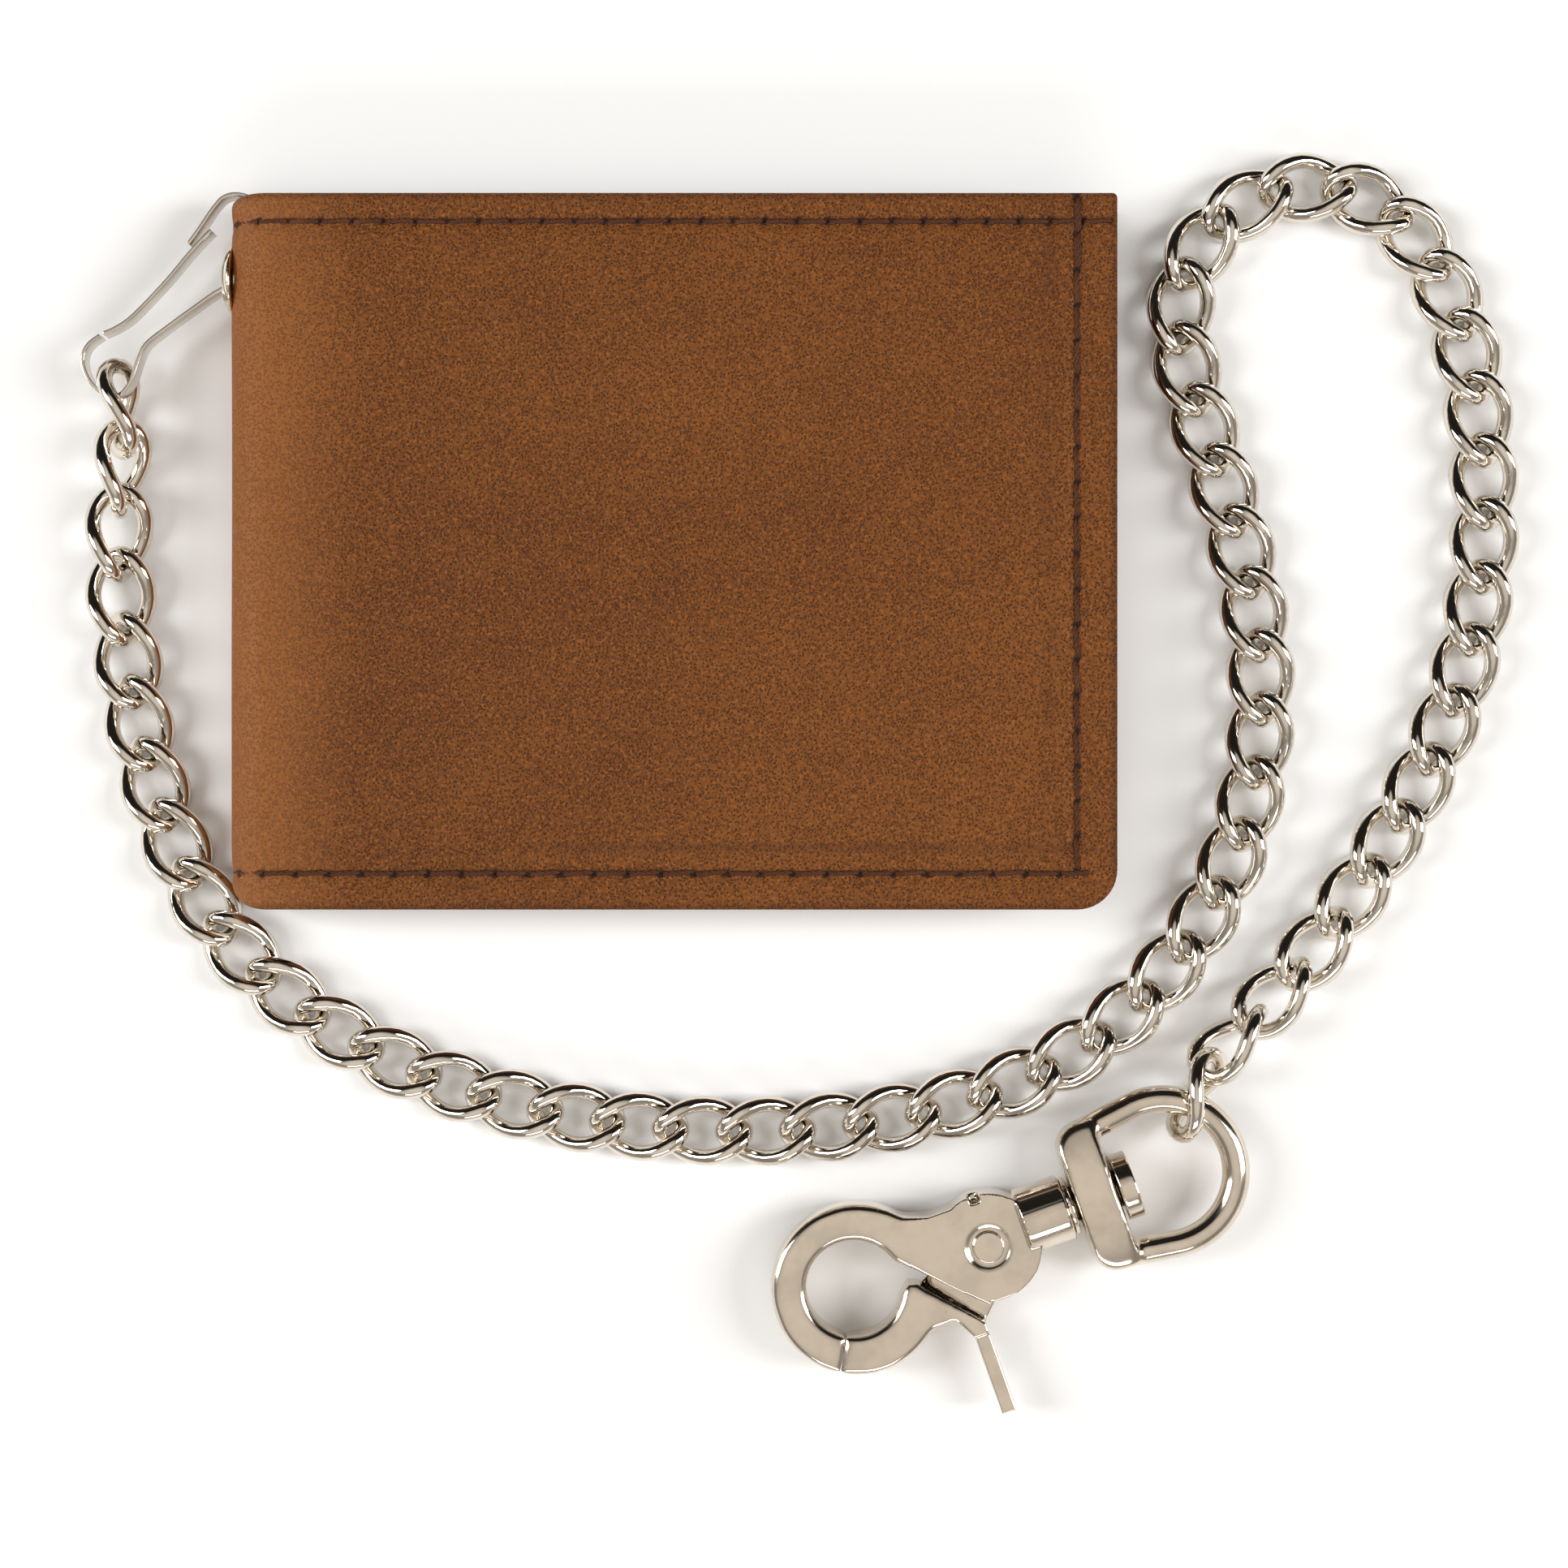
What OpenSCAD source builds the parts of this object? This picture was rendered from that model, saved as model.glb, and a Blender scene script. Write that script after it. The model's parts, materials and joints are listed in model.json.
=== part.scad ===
// Chain wallet: a closed bifold wallet in pull-up leather, a spring clip through
// a grommet in its fold, a curb chain and a trigger snap on a swivel.
// Units are millimetres. The wallet's back rests on Z = 0, its middle is the origin,
// +X runs from the fold to the free edge, +Y to the open top, +Z out of the front.

/* [Wallet] */
// Width of the closed wallet, from the fold to the free edge
wallet_w = 111; // [104:1:136]
// Height of the wallet along the fold
wallet_h = 89; // [84:1:107]
// Thickness of the outer leather
cover_t = 1.3; // [1:0.1:1.6]
// Thickness of the lining
lining_t = 0.6; // [0.4:0.1:0.7]
// Room for notes behind each inside panel
bill_gap = 0.3; // [0.2:0.1:0.6]
// Thickness of an inside panel
panel_t = 0.7; // [0.5:0.1:1]
// Thickness of a card slot
slot_t = 0.6; // [0.5:0.1:0.8]
// Space between the two closed halves
closed_gap = 1.2; // [1:0.1:2]
// Corner radius at the bottom of the free edge
free_corner_r = 5; // [2:0.5:8]
// Corner radius at the bottom of the fold
fold_corner_r = 3.5; // [2.5:0.5:5]
// Corner radius at the top
top_corner_r = 1.2; // [0.5:0.1:2]
// Distance from the fold's centre to the inside panels
panel_inset = 6; // [5:0.5:12]
// Distance from the cover's edge to the inside pieces
edge_inset = 1; // [0.5:0.5:2]
// Height of the lowest card slot
first_slot_h = 44.5; // [40:0.5:50]
// Rise from one card slot to the next
slot_step = 12; // [8:1:13]

/* [Stitching] */
// Width of a stitch
thread_w = 0.6; // [0.4:0.1:0.8]
// Height of a stitch
thread_h = 0.4; // [0.3:0.1:0.5]
// Distance from the top edge to the top seam
top_seam = 3.5; // [2.5:0.5:5]
// Distance from the bottom edge to the bottom seam
bottom_seam = 4.5; // [3:0.5:6]
// Distance from the free edge to the side seam
side_seam = 5; // [3:0.5:7]
// Stitch length along the top
top_pitch = 3.9; // [3:0.1:5]
// Stitch length along the bottom
bottom_pitch = 4.1; // [3:0.1:5]
// Stitch length along the side
side_pitch = 4.4; // [3:0.1:5]
// Needle gap between two stitches
stitch_gap = 0.9; // [0.6:0.1:1.2]

/* [Grommet] */
// Distance from the top edge to the grommet's centre
grommet_drop = 10.1; // [9.8:0.1:10.4]
// Radius of the grommet's hole
grommet_r = 2.4; // [2.3:0.1:2.6]
// Wall of the grommet's barrel
grommet_wall = 0.25; // [0.2:0.05:0.4]
// Radius of the grommet's outer flange
flange_r = 4.3; // [3.8:0.1:4.6]

/* [Clip] */
// Thickness of the spring strip
strip_t = 0.5; // [0.4:0.05:0.6]
// Width of the spring strip, which stands on edge
strip_w = 3; // [2.6:0.1:3.2]

/* [Chain] */
// Half length of a link's centre line
link_a = 5.45; // [5.4:0.05:5.6]
// Half width of a link's centre line
link_b = 3.4; // [3.3:0.05:3.6]
// Radius of the link wire
wire_r = 1; // [0.85:0.05:1]
// Turn of the link at each of its ends
link_twist = 45; // [42:1:48]
// Distance from one link to the next
link_step = 8.07; // [7.9:0.01:8.1]

/* [Snap] */
// Thickness of the hook body
hook_t = 5.6; // [5:0.1:6.4]
// Outer radius of the hook's ring
ring_r = 10.8; // [10.4:0.1:11.4]
// Radius of the eye
eye_r = 6; // [5.5:0.1:6.4]
// Radius of the head round the rivet
head_r = 6.8; // [6.4:0.1:7.4]
// Radius of the rivet
rivet_r = 1.5; // [1.2:0.1:1.8]
// Width of the rivet's head past its shaft
rivet_lip = 0.5; // [0.3:0.1:0.6]
// Length of the trigger past the gate
trigger_l = 11.8; // [9:0.2:14]
// Width of the trigger
trigger_w = 1.95; // [1.6:0.05:2.4]
// How far the swivel's axis lies above the rivet
swivel_rise = 1.15; // [0.9:0.05:1.4]
// Radius of the swivel barrel
barrel_r = 4.25; // [4:0.05:4.6]
// Radius of the swivel stem
stem_r = 2.2; // [1.8:0.1:2.6]
// Radius of the bar of the swivel loop
bar_r = 1.75; // [1.5:0.05:1.8]
// Half width inside the swivel loop
loop_half = 7.5; // [7.2:0.05:8]
// Length of the straight sides of the swivel loop
loop_side = 6.4; // [5:0.2:8]
// How far each side leans outwards from the block, in degrees
loop_flare = 8; // [4:1:10]
// Thickness of the block that the stem turns in
block_t = 5.5; // [4.5:0.1:6.5]
// Height of that block at its middle
block_h = 7.4; // [6.4:0.1:8]
// Radius of the crown on that block's broad faces
block_crown_r = 27; // [24:1:60]

/* [Fits] */
// Gap between two sheets that lie together
sheet_gap = 0.05; // [0.03:0.01:0.1]
// Radial clearance of a shaft in its hole
run_clear = 0.06; // [0.02:0.01:0.1]
// Gap between two pieces that move past each other
move_gap = 0.3; // [0.2:0.05:0.4]
// Gap between the jaw and the hook it closes on
seam_gap = 0.12; // [0.1:0.02:0.2]

/* [Hidden] */
$fn = 48;
SLOTS = 3;
GROUPS = 11;

// Layers of one half, counted from its outer face
lining_z = cover_t + sheet_gap;
panel_z = lining_z + lining_t + bill_gap;
function slot_z(k) = panel_z + panel_t + sheet_gap + (k - 1) * (slot_t + sheet_gap);
half_t = slot_z(SLOTS) + slot_t;
closed_t = 2 * half_t + closed_gap;

// The fold: a half round spine about this line
fold_r = closed_t / 2;
free_x = wallet_w / 2;
fold_x = -free_x + fold_r;
top_y = wallet_h / 2;
far = 200;

panel_x = fold_x + panel_inset;
panel_end = free_x - edge_inset;
panel_low = -top_y + edge_inset;
panel_top = top_y - 5;
function slot_top(k) = panel_low + first_slot_h + (SLOTS - k) * slot_step;

groove_w = thread_w + 0.2;
groove_d = thread_h + 0.05;
side_x = free_x - side_seam;
top_row_y = top_y - top_seam;
bottom_row_y = -top_y + bottom_seam;
bottom_row_end = side_x + 2;

grommet_y = top_y - grommet_drop;
grommet_z = fold_r;
barrel_out_r = grommet_r + grommet_wall;
leather_hole_r = barrel_out_r + 0.1;
seat_depth = 0.5;
barrel_l = 4.3;
washer_t = 0.5;
washer_wall = 0.35;

// The wallet that the chain's route below was laid round. A larger one pushes it outwards.
LAID_W = 111;
LAID_H = 89;

// The clip keeps its place at the grommet when the wallet changes size
clip_at = [LAID_W / 2 - free_x, grommet_y - 34.4, 0];
strip_z = grommet_z - 0.2;
first_link_z = strip_z - 0.4;
CLIP_TIP = [[-60.8, 39], [-59.4, 40.9], [-58.4, 42.4], [-57.4, 43.8], [-56.3, 44.9], [-54.7, 45.25],
    [-52.8, 44.7], [-50.9, 43], [-50.2, 40], [-50.4, 37], [-51.6, 35.4], [-56.6, 33.3],
    [-60.3, 30.8], [-63.6, 28.4], [-66.1, 26.4], [-67.1, 24.4], [-68, 21.8], [-69.2, 20.2],
    [-70.8, 19.9], [-72.3, 20.8], [-73.5, 22.3], [-74.1, 24.4], [-73.5, 26.2], [-71.9, 27.5]];
CLIP_ARM = [[-71.5, 27.75], [-69.8, 28.5], [-67.6, 30.1], [-63.5, 34.4], [-61, 37.4],
    [-58.9, 39.7], [-57.9, 40.7]];

function held(v) = min(max(v, -1), 1);
function around(p) = [p[0] + (wallet_w - LAID_W) / 2 * held(p[0] / 30),
    p[1] + (wallet_h - LAID_H) / 2 * held(p[1] / 11)];

// The chain's route over the table, and how its end links roll onto their edges
ROUTE = [[-69.7, 11], [-70.5, 1], [-69.8, -12], [-67.4, -25], [-63.5, -37], [-57.8, -48],
    [-48.5, -57], [-36, -64.5], [-22, -69.5], [-6.5, -72.5], [10, -73.5], [27, -72],
    [43, -68], [57.5, -59.5], [68.5, -46], [74.4, -30], [75.4, -13], [71.8, 4], [66.6, 19],
    [63.6, 30], [66, 39.6], [73.6, 46.3], [83.8, 47.8], [93, 43.3], [98.6, 34.5],
    [101.8, 24], [103.4, 11], [103.2, -5], [98.8, -21.5], [91.2, -36.2], [81.6, -50.4],
    [70.6, -61.6]];
ROLL_START = [-65, -36, -17];
ROLL_END = [6.6, 22, 36, 60.5];
FIRST = [-69.7, 18.5, -85, -92];
LAST = [66.3, -68.2, -114, 100, 4.35];
STEPS = 12;
RINGS = 16;
SIDES = 6;

// Where the snap lies: its rivet, its turn and the height of its middle plane
snap_at = around([39.8, -87.1]);
snap_turn = 19.5;
snap_z = barrel_r;
ring_at = [-17.4, 0.4];
eye_at = [-17.7, 0.7];
cleft = [-9.5, 0.2];
fork_gap = 3.4;
tang_t = 1.5;
tang_r = 4.4;
tang_z = -fork_gap / 2 + 0.1;
spring_wire = 0.3;
spring_r = 2.5;
spring_turns = 2;
seam_turn = -119;
trigger_at = [-3.45, -8.85];
block_x = 12.1;
block_corner_r = 3.2;
loop_mid_x = block_x + block_t + loop_side;
loop_mid_r = loop_half + bar_r;
side_l = (loop_mid_x - loop_mid_r * sin(loop_flare) - block_x - block_t / 2) / cos(loop_flare);
block_half = loop_mid_r * cos(loop_flare) - side_l * sin(loop_flare) + bar_r - 0.05;
barrel_x = 5;
barrel_end = 11;
stem_head_x = block_x + block_t + move_gap;
stem_collar_r = stem_r + 1.6;
stem_head_t = 2.2;
stem_head_r = stem_r + 2.1;
rivet_head_t = 0.35;
rivet_seat_r = rivet_r + rivet_lip + 0.3;

// ---- helpers ----------------------------------------------------------------------

// Smooth points through a list, n to a span
function through(p, n) = [for (i = [0 : len(p) - 2]) for (k = [0 : n - 1])
    let (t = k / n, a = p[max(i - 1, 0)], b = p[i], c = p[i + 1], d = p[min(i + 2, len(p) - 1)])
    0.5 * (2 * b + (c - a) * t + (2 * a - 5 * b + 4 * c - d) * t * t
        + (3 * b - a - 3 * c + d) * t * t * t), p[len(p) - 1]];

// Smooth points near a list, n to a span, with the ends kept
function near_line(p, n) =
    let (m = len(p), q = concat([2 * p[0] - p[1]], p, [2 * p[m - 1] - p[m - 2]]))
    [for (i = [1 : m - 1]) for (k = [0 : n - (i == m - 1 ? 0 : 1)]) let (t = k / n)
        (q[i - 1] * pow(1 - t, 3) + q[i] * (3 * t * t * t - 6 * t * t + 4)
            + q[i + 1] * (3 * t * t - 3 * t * t * t + 3 * t + 1) + q[i + 2] * t * t * t) / 6];

// Running length along a list of points
function lengths(p) = [for (i = 0, s = 0; i < len(p);
    s = s + (i < len(p) - 1 ? norm(p[i + 1] - p[i]) : 0), i = i + 1) s];

function unit(v) = v / norm(v);

// A strip of even thickness along a list of points
function strip_side(p, h) = [for (i = [0 : len(p) - 1])
    let (u = unit(p[min(i + 1, len(p) - 1)] - p[max(i - 1, 0)])) p[i] + h * [-u[1], u[0]]];

module strip(points) {
    p = through(points, 4);
    low = strip_side(p, -strip_t / 2);
    high = strip_side(p, strip_t / 2);
    translate([0, 0, strip_z - strip_w / 2])
        translate(clip_at)
            linear_extrude(strip_w)
                polygon(concat(low, [for (i = [len(high) - 1 : -1 : 0]) high[i]]));
}

// What a rounded corner takes off, with the corner at the origin
module corner_waste(r) {
    difference() {
        translate([-1, -1]) square(r + 1);
        translate([r, r]) circle(r);
    }
}

// The outline of the whole closed wallet, fold included
module wallet_outline() {
    difference() {
        translate([-free_x, -top_y]) square([wallet_w, wallet_h]);
        translate([-free_x, -top_y]) corner_waste(fold_corner_r);
        translate([-free_x, top_y]) mirror([0, 1]) corner_waste(top_corner_r);
        translate([free_x, -top_y]) mirror([1, 0]) corner_waste(free_corner_r);
        translate([free_x, top_y]) rotate(180) corner_waste(top_corner_r / 2);
    }
}

// One flat half of that outline, from a given line to the free edge
module half_outline(from_x) {
    intersection() {
        wallet_outline();
        translate([from_x, -far]) square([far * 2, far * 2]);
    }
}

// Turns a half that lies outer face down into the front half
module to_front() {
    translate([0, 0, closed_t]) mirror([0, 0, 1]) children();
}

// ---- leather ----------------------------------------------------------------------

// Shallow channels that the seams lie in, on the outer face at Z = 0
module seam_channels() {
    translate([-far / 2, top_row_y - groove_w / 2, -1]) cube([far, groove_w, groove_d + 1]);
    translate([-far / 2, bottom_row_y - groove_w / 2, -1])
        cube([far / 2 + bottom_row_end, groove_w, groove_d + 1]);
    translate([side_x - groove_w / 2, bottom_row_y, -1])
        cube([groove_w, far, groove_d + 1]);
}

module cover_half(from_x) {
    color("sienna") difference() {
        linear_extrude(cover_t) half_outline(from_x);
        seam_channels();
    }
}

module fold_shell(r_out, r_in, half_len) {
    intersection() {
        translate([fold_x, half_len, fold_r]) rotate([90, 0, 0]) difference() {
            cylinder(h = 2 * half_len, r = r_out);
            translate([0, 0, -1]) cylinder(h = 2 * half_len + 2, r = r_in);
        }
        translate([fold_x - far, -far, -1]) cube([far, 2 * far, closed_t + 2]);
        translate([0, 0, -1]) linear_extrude(closed_t + 2) wallet_outline();
    }
}

module grommet_hole() {
    translate([-free_x - 1, grommet_y, grommet_z]) rotate([0, 90, 0])
        cylinder(h = fold_r + 1, r = leather_hole_r);
}

module fold_groove(y) {
    translate([fold_x, y + groove_w / 2, fold_r]) rotate([90, 0, 0]) difference() {
        cylinder(h = groove_w, r = fold_r + 1);
        translate([0, 0, -1]) cylinder(h = groove_w + 2, r = fold_r - groove_d);
    }
}

module cover_spine() {
    color("sienna") difference() {
        fold_shell(fold_r, fold_r - cover_t, top_y);
        grommet_hole();
        translate([-free_x - 1, grommet_y, grommet_z]) rotate([0, 90, 0])
            cylinder(h = 1 + seat_depth, r = flange_r + 0.2);
        fold_groove(top_row_y);
        fold_groove(bottom_row_y);
    }
}

module lining_spine() {
    color("tan") difference() {
        fold_shell(fold_r - lining_z, fold_r - lining_z - lining_t, top_y - edge_inset);
        grommet_hole();
    }
}

module lining_half(from_x) {
    color("tan") translate([0, 0, lining_z]) linear_extrude(lining_t) difference() {
        translate([from_x, panel_low])
            square([panel_end - from_x, wallet_h - 2 * edge_inset]);
        translate([panel_end, panel_low]) mirror([1, 0]) corner_waste(free_corner_r);
    }
}

module inside_sheet(z, t, top) {
    translate([0, 0, z]) linear_extrude(t) difference() {
        translate([panel_x, panel_low]) square([panel_end - panel_x, top - panel_low]);
        translate([panel_end, panel_low]) mirror([1, 0]) corner_waste(free_corner_r);
    }
}

module panel() {
    color("peru") inside_sheet(panel_z, panel_t, panel_top);
}

module card_slot(k) {
    color("sienna") inside_sheet(slot_z(k), slot_t, slot_top(k));
}

// ---- stitching --------------------------------------------------------------------

// The innermost face at a height y on the inside of a half
function inner_z(y) = let (n = len([for (k = [1 : SLOTS]) if (y < slot_top(k)) k]))
    n > 0 ? slot_z(n) + slot_t : panel_z + panel_t;

module stitch(length) {
    translate([stitch_gap / 2, -thread_w / 2, 0]) cube([length - stitch_gap, thread_w, thread_h]);
}

module row_x(from_x, to_x, y, pitch, z) {
    n = round((to_x - from_x) / pitch);
    step = (to_x - from_x) / n;
    for (i = [0 : n - 1])
        translate([from_x + i * step, y, z]) stitch(step);
}

module fold_stitches(y, pitch) {
    n = round(PI * fold_r / pitch);
    step = 180 / n;
    gap = stitch_gap / (PI * fold_r) * 180;
    for (i = [0 : n - 1])
        translate([fold_x, y + thread_w / 2, fold_r]) rotate([90, 0, 0])
            rotate([0, 0, 90 + i * step + gap / 2])
                rotate_extrude(angle = step - gap)
                    translate([fold_r - groove_d, 0]) square([thread_h, thread_w]);
}

module thread_top(from_x) {
    color("saddlebrown") row_x(from_x, free_x - 0.3, top_row_y, top_pitch, groove_d - thread_h);
}

module thread_bottom(from_x) {
    color("saddlebrown") {
        row_x(from_x, bottom_row_end, bottom_row_y, bottom_pitch, groove_d - thread_h);
        row_x(panel_x + 0.5, side_x - 1, bottom_row_y, bottom_pitch, inner_z(bottom_row_y));
    }
}

module thread_side() {
    low = bottom_row_y + 1;
    high = top_row_y - 1;
    n = round((high - low) / side_pitch);
    step = (high - low) / n;
    color("saddlebrown") for (i = [0 : n - 1]) let (y = low + i * step) {
        translate([side_x, y, groove_d - thread_h]) rotate(90) stitch(step);
        if (y + step < panel_top)
            translate([side_x, y, max(inner_z(y), inner_z(y + step))]) rotate(90) stitch(step);
    }
}

// ---- grommet and clip -------------------------------------------------------------

module grommet() {
    color("silver") translate([-free_x, grommet_y, grommet_z]) rotate([0, -90, 0])
        rotate_extrude() polygon([[grommet_r, -barrel_l], [barrel_out_r, -barrel_l],
            [barrel_out_r, -seat_depth], [flange_r - 0.2, -seat_depth], [flange_r, -0.2],
            [flange_r - 0.4, 0.3], [flange_r - 1.1, 0.75], [flange_r - 1.5, 0.7],
            [grommet_r, 0.2]]);
}

module grommet_washer() {
    color("silver") translate([-free_x + barrel_l, grommet_y, grommet_z]) rotate([0, -90, 0])
        difference() {
            cylinder(h = washer_t, r = barrel_out_r + washer_wall);
            translate([0, 0, -1]) cylinder(h = washer_t + 2, r = barrel_out_r + 0.02);
        }
}

module clip_body() {
    color("silver") strip(CLIP_TIP);
}

module clip_arm() {
    color("silver") strip(CLIP_ARM);
}

// ---- chain ------------------------------------------------------------------------

// A point of a link's centre line: an oval whose ends are twisted against each other
function link_point(t) = let (x = link_a * cos(t), y = link_b * sin(t),
    turn = -link_twist * cos(t)) [x, y * cos(turn), y * sin(turn)];

function link_ring(t) = let (
    along = unit(link_point(t + 2) - link_point(t - 2)),
    side = unit(cross(along, [0, 0, 1])),
    up = cross(along, side))
    [for (k = [0 : SIDES - 1]) let (w = k * 360 / SIDES)
        link_point(t) + wire_r * (side * cos(w) + up * sin(w))];

LINK_POINTS = [for (i = [0 : RINGS - 1]) each link_ring(i * 360 / RINGS)];
LINK_FACES = [for (i = [0 : RINGS - 1]) for (k = [0 : SIDES - 1])
    let (a = i * SIDES + k, b = i * SIDES + (k + 1) % SIDES,
        c = ((i + 1) % RINGS) * SIDES + k, d = ((i + 1) % RINGS) * SIDES + (k + 1) % SIDES)
    each [[a, c, b], [b, c, d]]];

// The height at which a link rests, after a roll about its long axis
function rest_height(roll) = -min([for (p = LINK_POINTS) p[1] * sin(roll) + p[2] * cos(roll)]);

line = near_line([for (p = ROUTE) around(p)], STEPS);
along_line = lengths(line);
line_x = [for (i = [0 : len(line) - 1]) [along_line[i], line[i][0]]];
line_y = [for (i = [0 : len(line) - 1]) [along_line[i], line[i][1]]];
line_l = along_line[len(line) - 1];
LINKS = round(line_l / link_step) + 1;
pitch = line_l / (LINKS - 1);
function first_of(k) = floor((k - 1) * LINKS / GROUPS);
function on_line(s) = [lookup(s, line_x), lookup(s, line_y)];
function heading(s) = let (d = on_line(min(s + pitch / 2, line_l)) - on_line(max(s - pitch / 2, 0)))
    atan2(d[1], d[0]);
function roll_of(i) = i < len(ROLL_START) ? ROLL_START[i]
    : i >= LINKS - len(ROLL_END) ? ROLL_END[i - LINKS + len(ROLL_END)] : 0;

module link(x, y, turn, roll, z) {
    translate([x, y, z]) rotate([0, 0, turn]) rotate([roll, 0, 0])
        polyhedron(points = LINK_POINTS, faces = LINK_FACES);
}

module chain_group(k) {
    color("gainsboro") for (i = [first_of(k) : first_of(k + 1) - 1])
        let (at = on_line(i * pitch))
            link(at[0], at[1], heading(i * pitch), roll_of(i), rest_height(roll_of(i)));
}

// The clip carries the first link with it
module link_first() {
    at = around(FIRST);
    color("gainsboro") link(at[0], at[1], FIRST[2], FIRST[3], first_link_z);
}

module link_last() {
    at = around(LAST);
    color("gainsboro") link(at[0], at[1], LAST[2], LAST[3], LAST[4]);
}

// ---- snap -------------------------------------------------------------------------

module snap_place() {
    translate([snap_at[0], snap_at[1], snap_z]) rotate([0, 0, snap_turn]) children();
}

// A round bar along X in the snap's own frame, on the swivel's axis
module axis_rod(from_x, to_x, r) {
    translate([from_x, swivel_rise, 0]) rotate([0, 90, 0]) cylinder(h = to_x - from_x, r = r);
}

module plate(t) {
    translate([0, 0, -t / 2]) linear_extrude(t) children();
}

module swivel_loop() {
    color("silver") snap_place() difference() {
        union() {
            translate([0, swivel_rise, 0]) {
                translate([loop_mid_x, 0, 0]) rotate([0, 0, -90 - loop_flare])
                    rotate_extrude(angle = 180 + 2 * loop_flare)
                        translate([loop_mid_r, 0]) circle(bar_r);
                for (s = [0, 1]) mirror([0, s, 0])
                    translate([loop_mid_x, 0, 0]) rotate([0, 0, 90 + loop_flare])
                        translate([loop_mid_r, 0, 0]) rotate([-90, 0, 0])
                            cylinder(h = side_l, r = bar_r);
                intersection() {
                    translate([0, 0, -block_h / 2]) linear_extrude(block_h) difference() {
                        translate([block_x, -block_half]) square([block_t, 2 * block_half]);
                        for (s = [0, 1]) mirror([0, s])
                            translate([block_x, -block_half]) corner_waste(block_corner_r);
                    }
                    rotate([90, 0, 90]) linear_extrude(far) intersection() {
                        translate([0, block_h / 2 - block_crown_r]) circle(block_crown_r);
                        translate([0, block_crown_r - block_h / 2]) circle(block_crown_r);
                    }
                }
            }
        }
        axis_rod(block_x - 1, block_x + block_t + 1, stem_r + run_clear);
    }
}

module swivel_stem() {
    color("silver") snap_place() union() {
        axis_rod(barrel_end - 2, stem_head_x + 0.1, stem_r);
        axis_rod(barrel_end + sheet_gap, block_x - move_gap, stem_collar_r);
        axis_rod(stem_head_x, stem_head_x + stem_head_t, stem_head_r);
    }
}

// Outline of the hook: ring, neck and head, without the jaw's share of the ring
module hook_outline() {
    difference() {
        union() {
            translate(ring_at) circle(ring_r);
            circle(head_r);
            polygon([ring_at + [2, 10.55], [-9.4, 7.3], [-6, 6.1], [-3.2, 6.1], [0, 0], cleft,
                ring_at + [2, 0]]);
            polygon([cleft, [0, 0], [-2.2, -6.9]]);
        }
        eye_outline();
        jaw_room();
    }
}

// Teardrop eye
module eye_outline() {
    translate(eye_at) circle(eye_r);
    polygon([eye_at + [0.7, eye_r - 0.05], cleft, eye_at + [0.7, 0.05 - eye_r]]);
}

// All that lies on the jaw's side of the cleft and of the seam at the jaw's tip
module jaw_room() {
    polygon([cleft, eye_at, eye_at + 30 * [cos(seam_turn), sin(seam_turn)], [0, -30],
        [-2.2, -6.95]]);
}

module hook_body() {
    color("silver") snap_place() difference() {
        union() {
            plate(hook_t) hook_outline();
            axis_rod(barrel_x, barrel_end, barrel_r);
        }
        translate([0, 0, -hook_t]) cylinder(h = 2 * hook_t, r = rivet_r);
        for (s = [0, 1]) mirror([0, 0, s]) {
            translate([0, 0, hook_t / 2 - rivet_head_t])
                cylinder(h = 1, r1 = rivet_seat_r, r2 = rivet_seat_r + 2.3);
        }
        translate([-0.4, head_r - 1.1, 0.1]) cube([1.3, 2, hook_t]);
        plate(fork_gap) fork_room();
        axis_rod(barrel_end - 2, barrel_end + 1, stem_r);
    }
}

// The room between the hook's two cheeks, wide enough for the whole swing of the tang
module fork_room() {
    circle(tang_r + move_gap);
    polygon([cleft + [0.6, 1.2], [-3.2, 3.4], [3.4, -3.2], [4.4, -9], [-2.2, -9], [-12, -3]]);
}

// The jaw and its trigger, in one piece
module gate() {
    color("silver") snap_place() difference() {
        union() {
            plate(hook_t) difference() {
                union() {
                    intersection() {
                        translate(ring_at) circle(ring_r);
                        polygon([eye_at, [-9.9, -1.5], [-7.7, -4], [-13, -12], [-26, -12],
                            eye_at + 30 * [cos(seam_turn), sin(seam_turn)]]);
                    }
                    polygon([[-9.9, -1.5], trigger_at, trigger_at - [0, 1.35], [-5.4, -10.2],
                        [-7, -7.35], [-9.7, -7.5], [-14, -9.6], [-15.5, -9.9], [-13, -4]]);
                }
                eye_outline();
                translate(eye_at) rotate(seam_turn) translate([0, seam_gap - far])
                    square([far, far]);
            }
            plate(3.6) translate(trigger_at - [trigger_w, trigger_l])
                square([trigger_w, trigger_l + 0.1]);
            translate([0, 0, tang_z]) linear_extrude(tang_t) union() {
                circle(tang_r);
                polygon([[-4.3, 0.8], [-9.6, -1.8], [-9, -3.2], [-4.2, -9.4], [-3.45, -9.2],
                    [2, -3.8]]);
            }
        }
        translate([0, 0, -hook_t]) cylinder(h = 2 * hook_t, r = rivet_r + run_clear);
    }
}

// The rivet that holds the gate, with a low button at each end
module rivet() {
    color("silver") snap_place() union() {
        translate([0, 0, -hook_t / 2]) cylinder(h = hook_t, r = rivet_r);
        for (s = [0, 1]) mirror([0, 0, s])
            translate([0, 0, hook_t / 2 - rivet_head_t])
                cylinder(h = rivet_head_t + 0.15, r = rivet_r + rivet_lip);
    }
}

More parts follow.
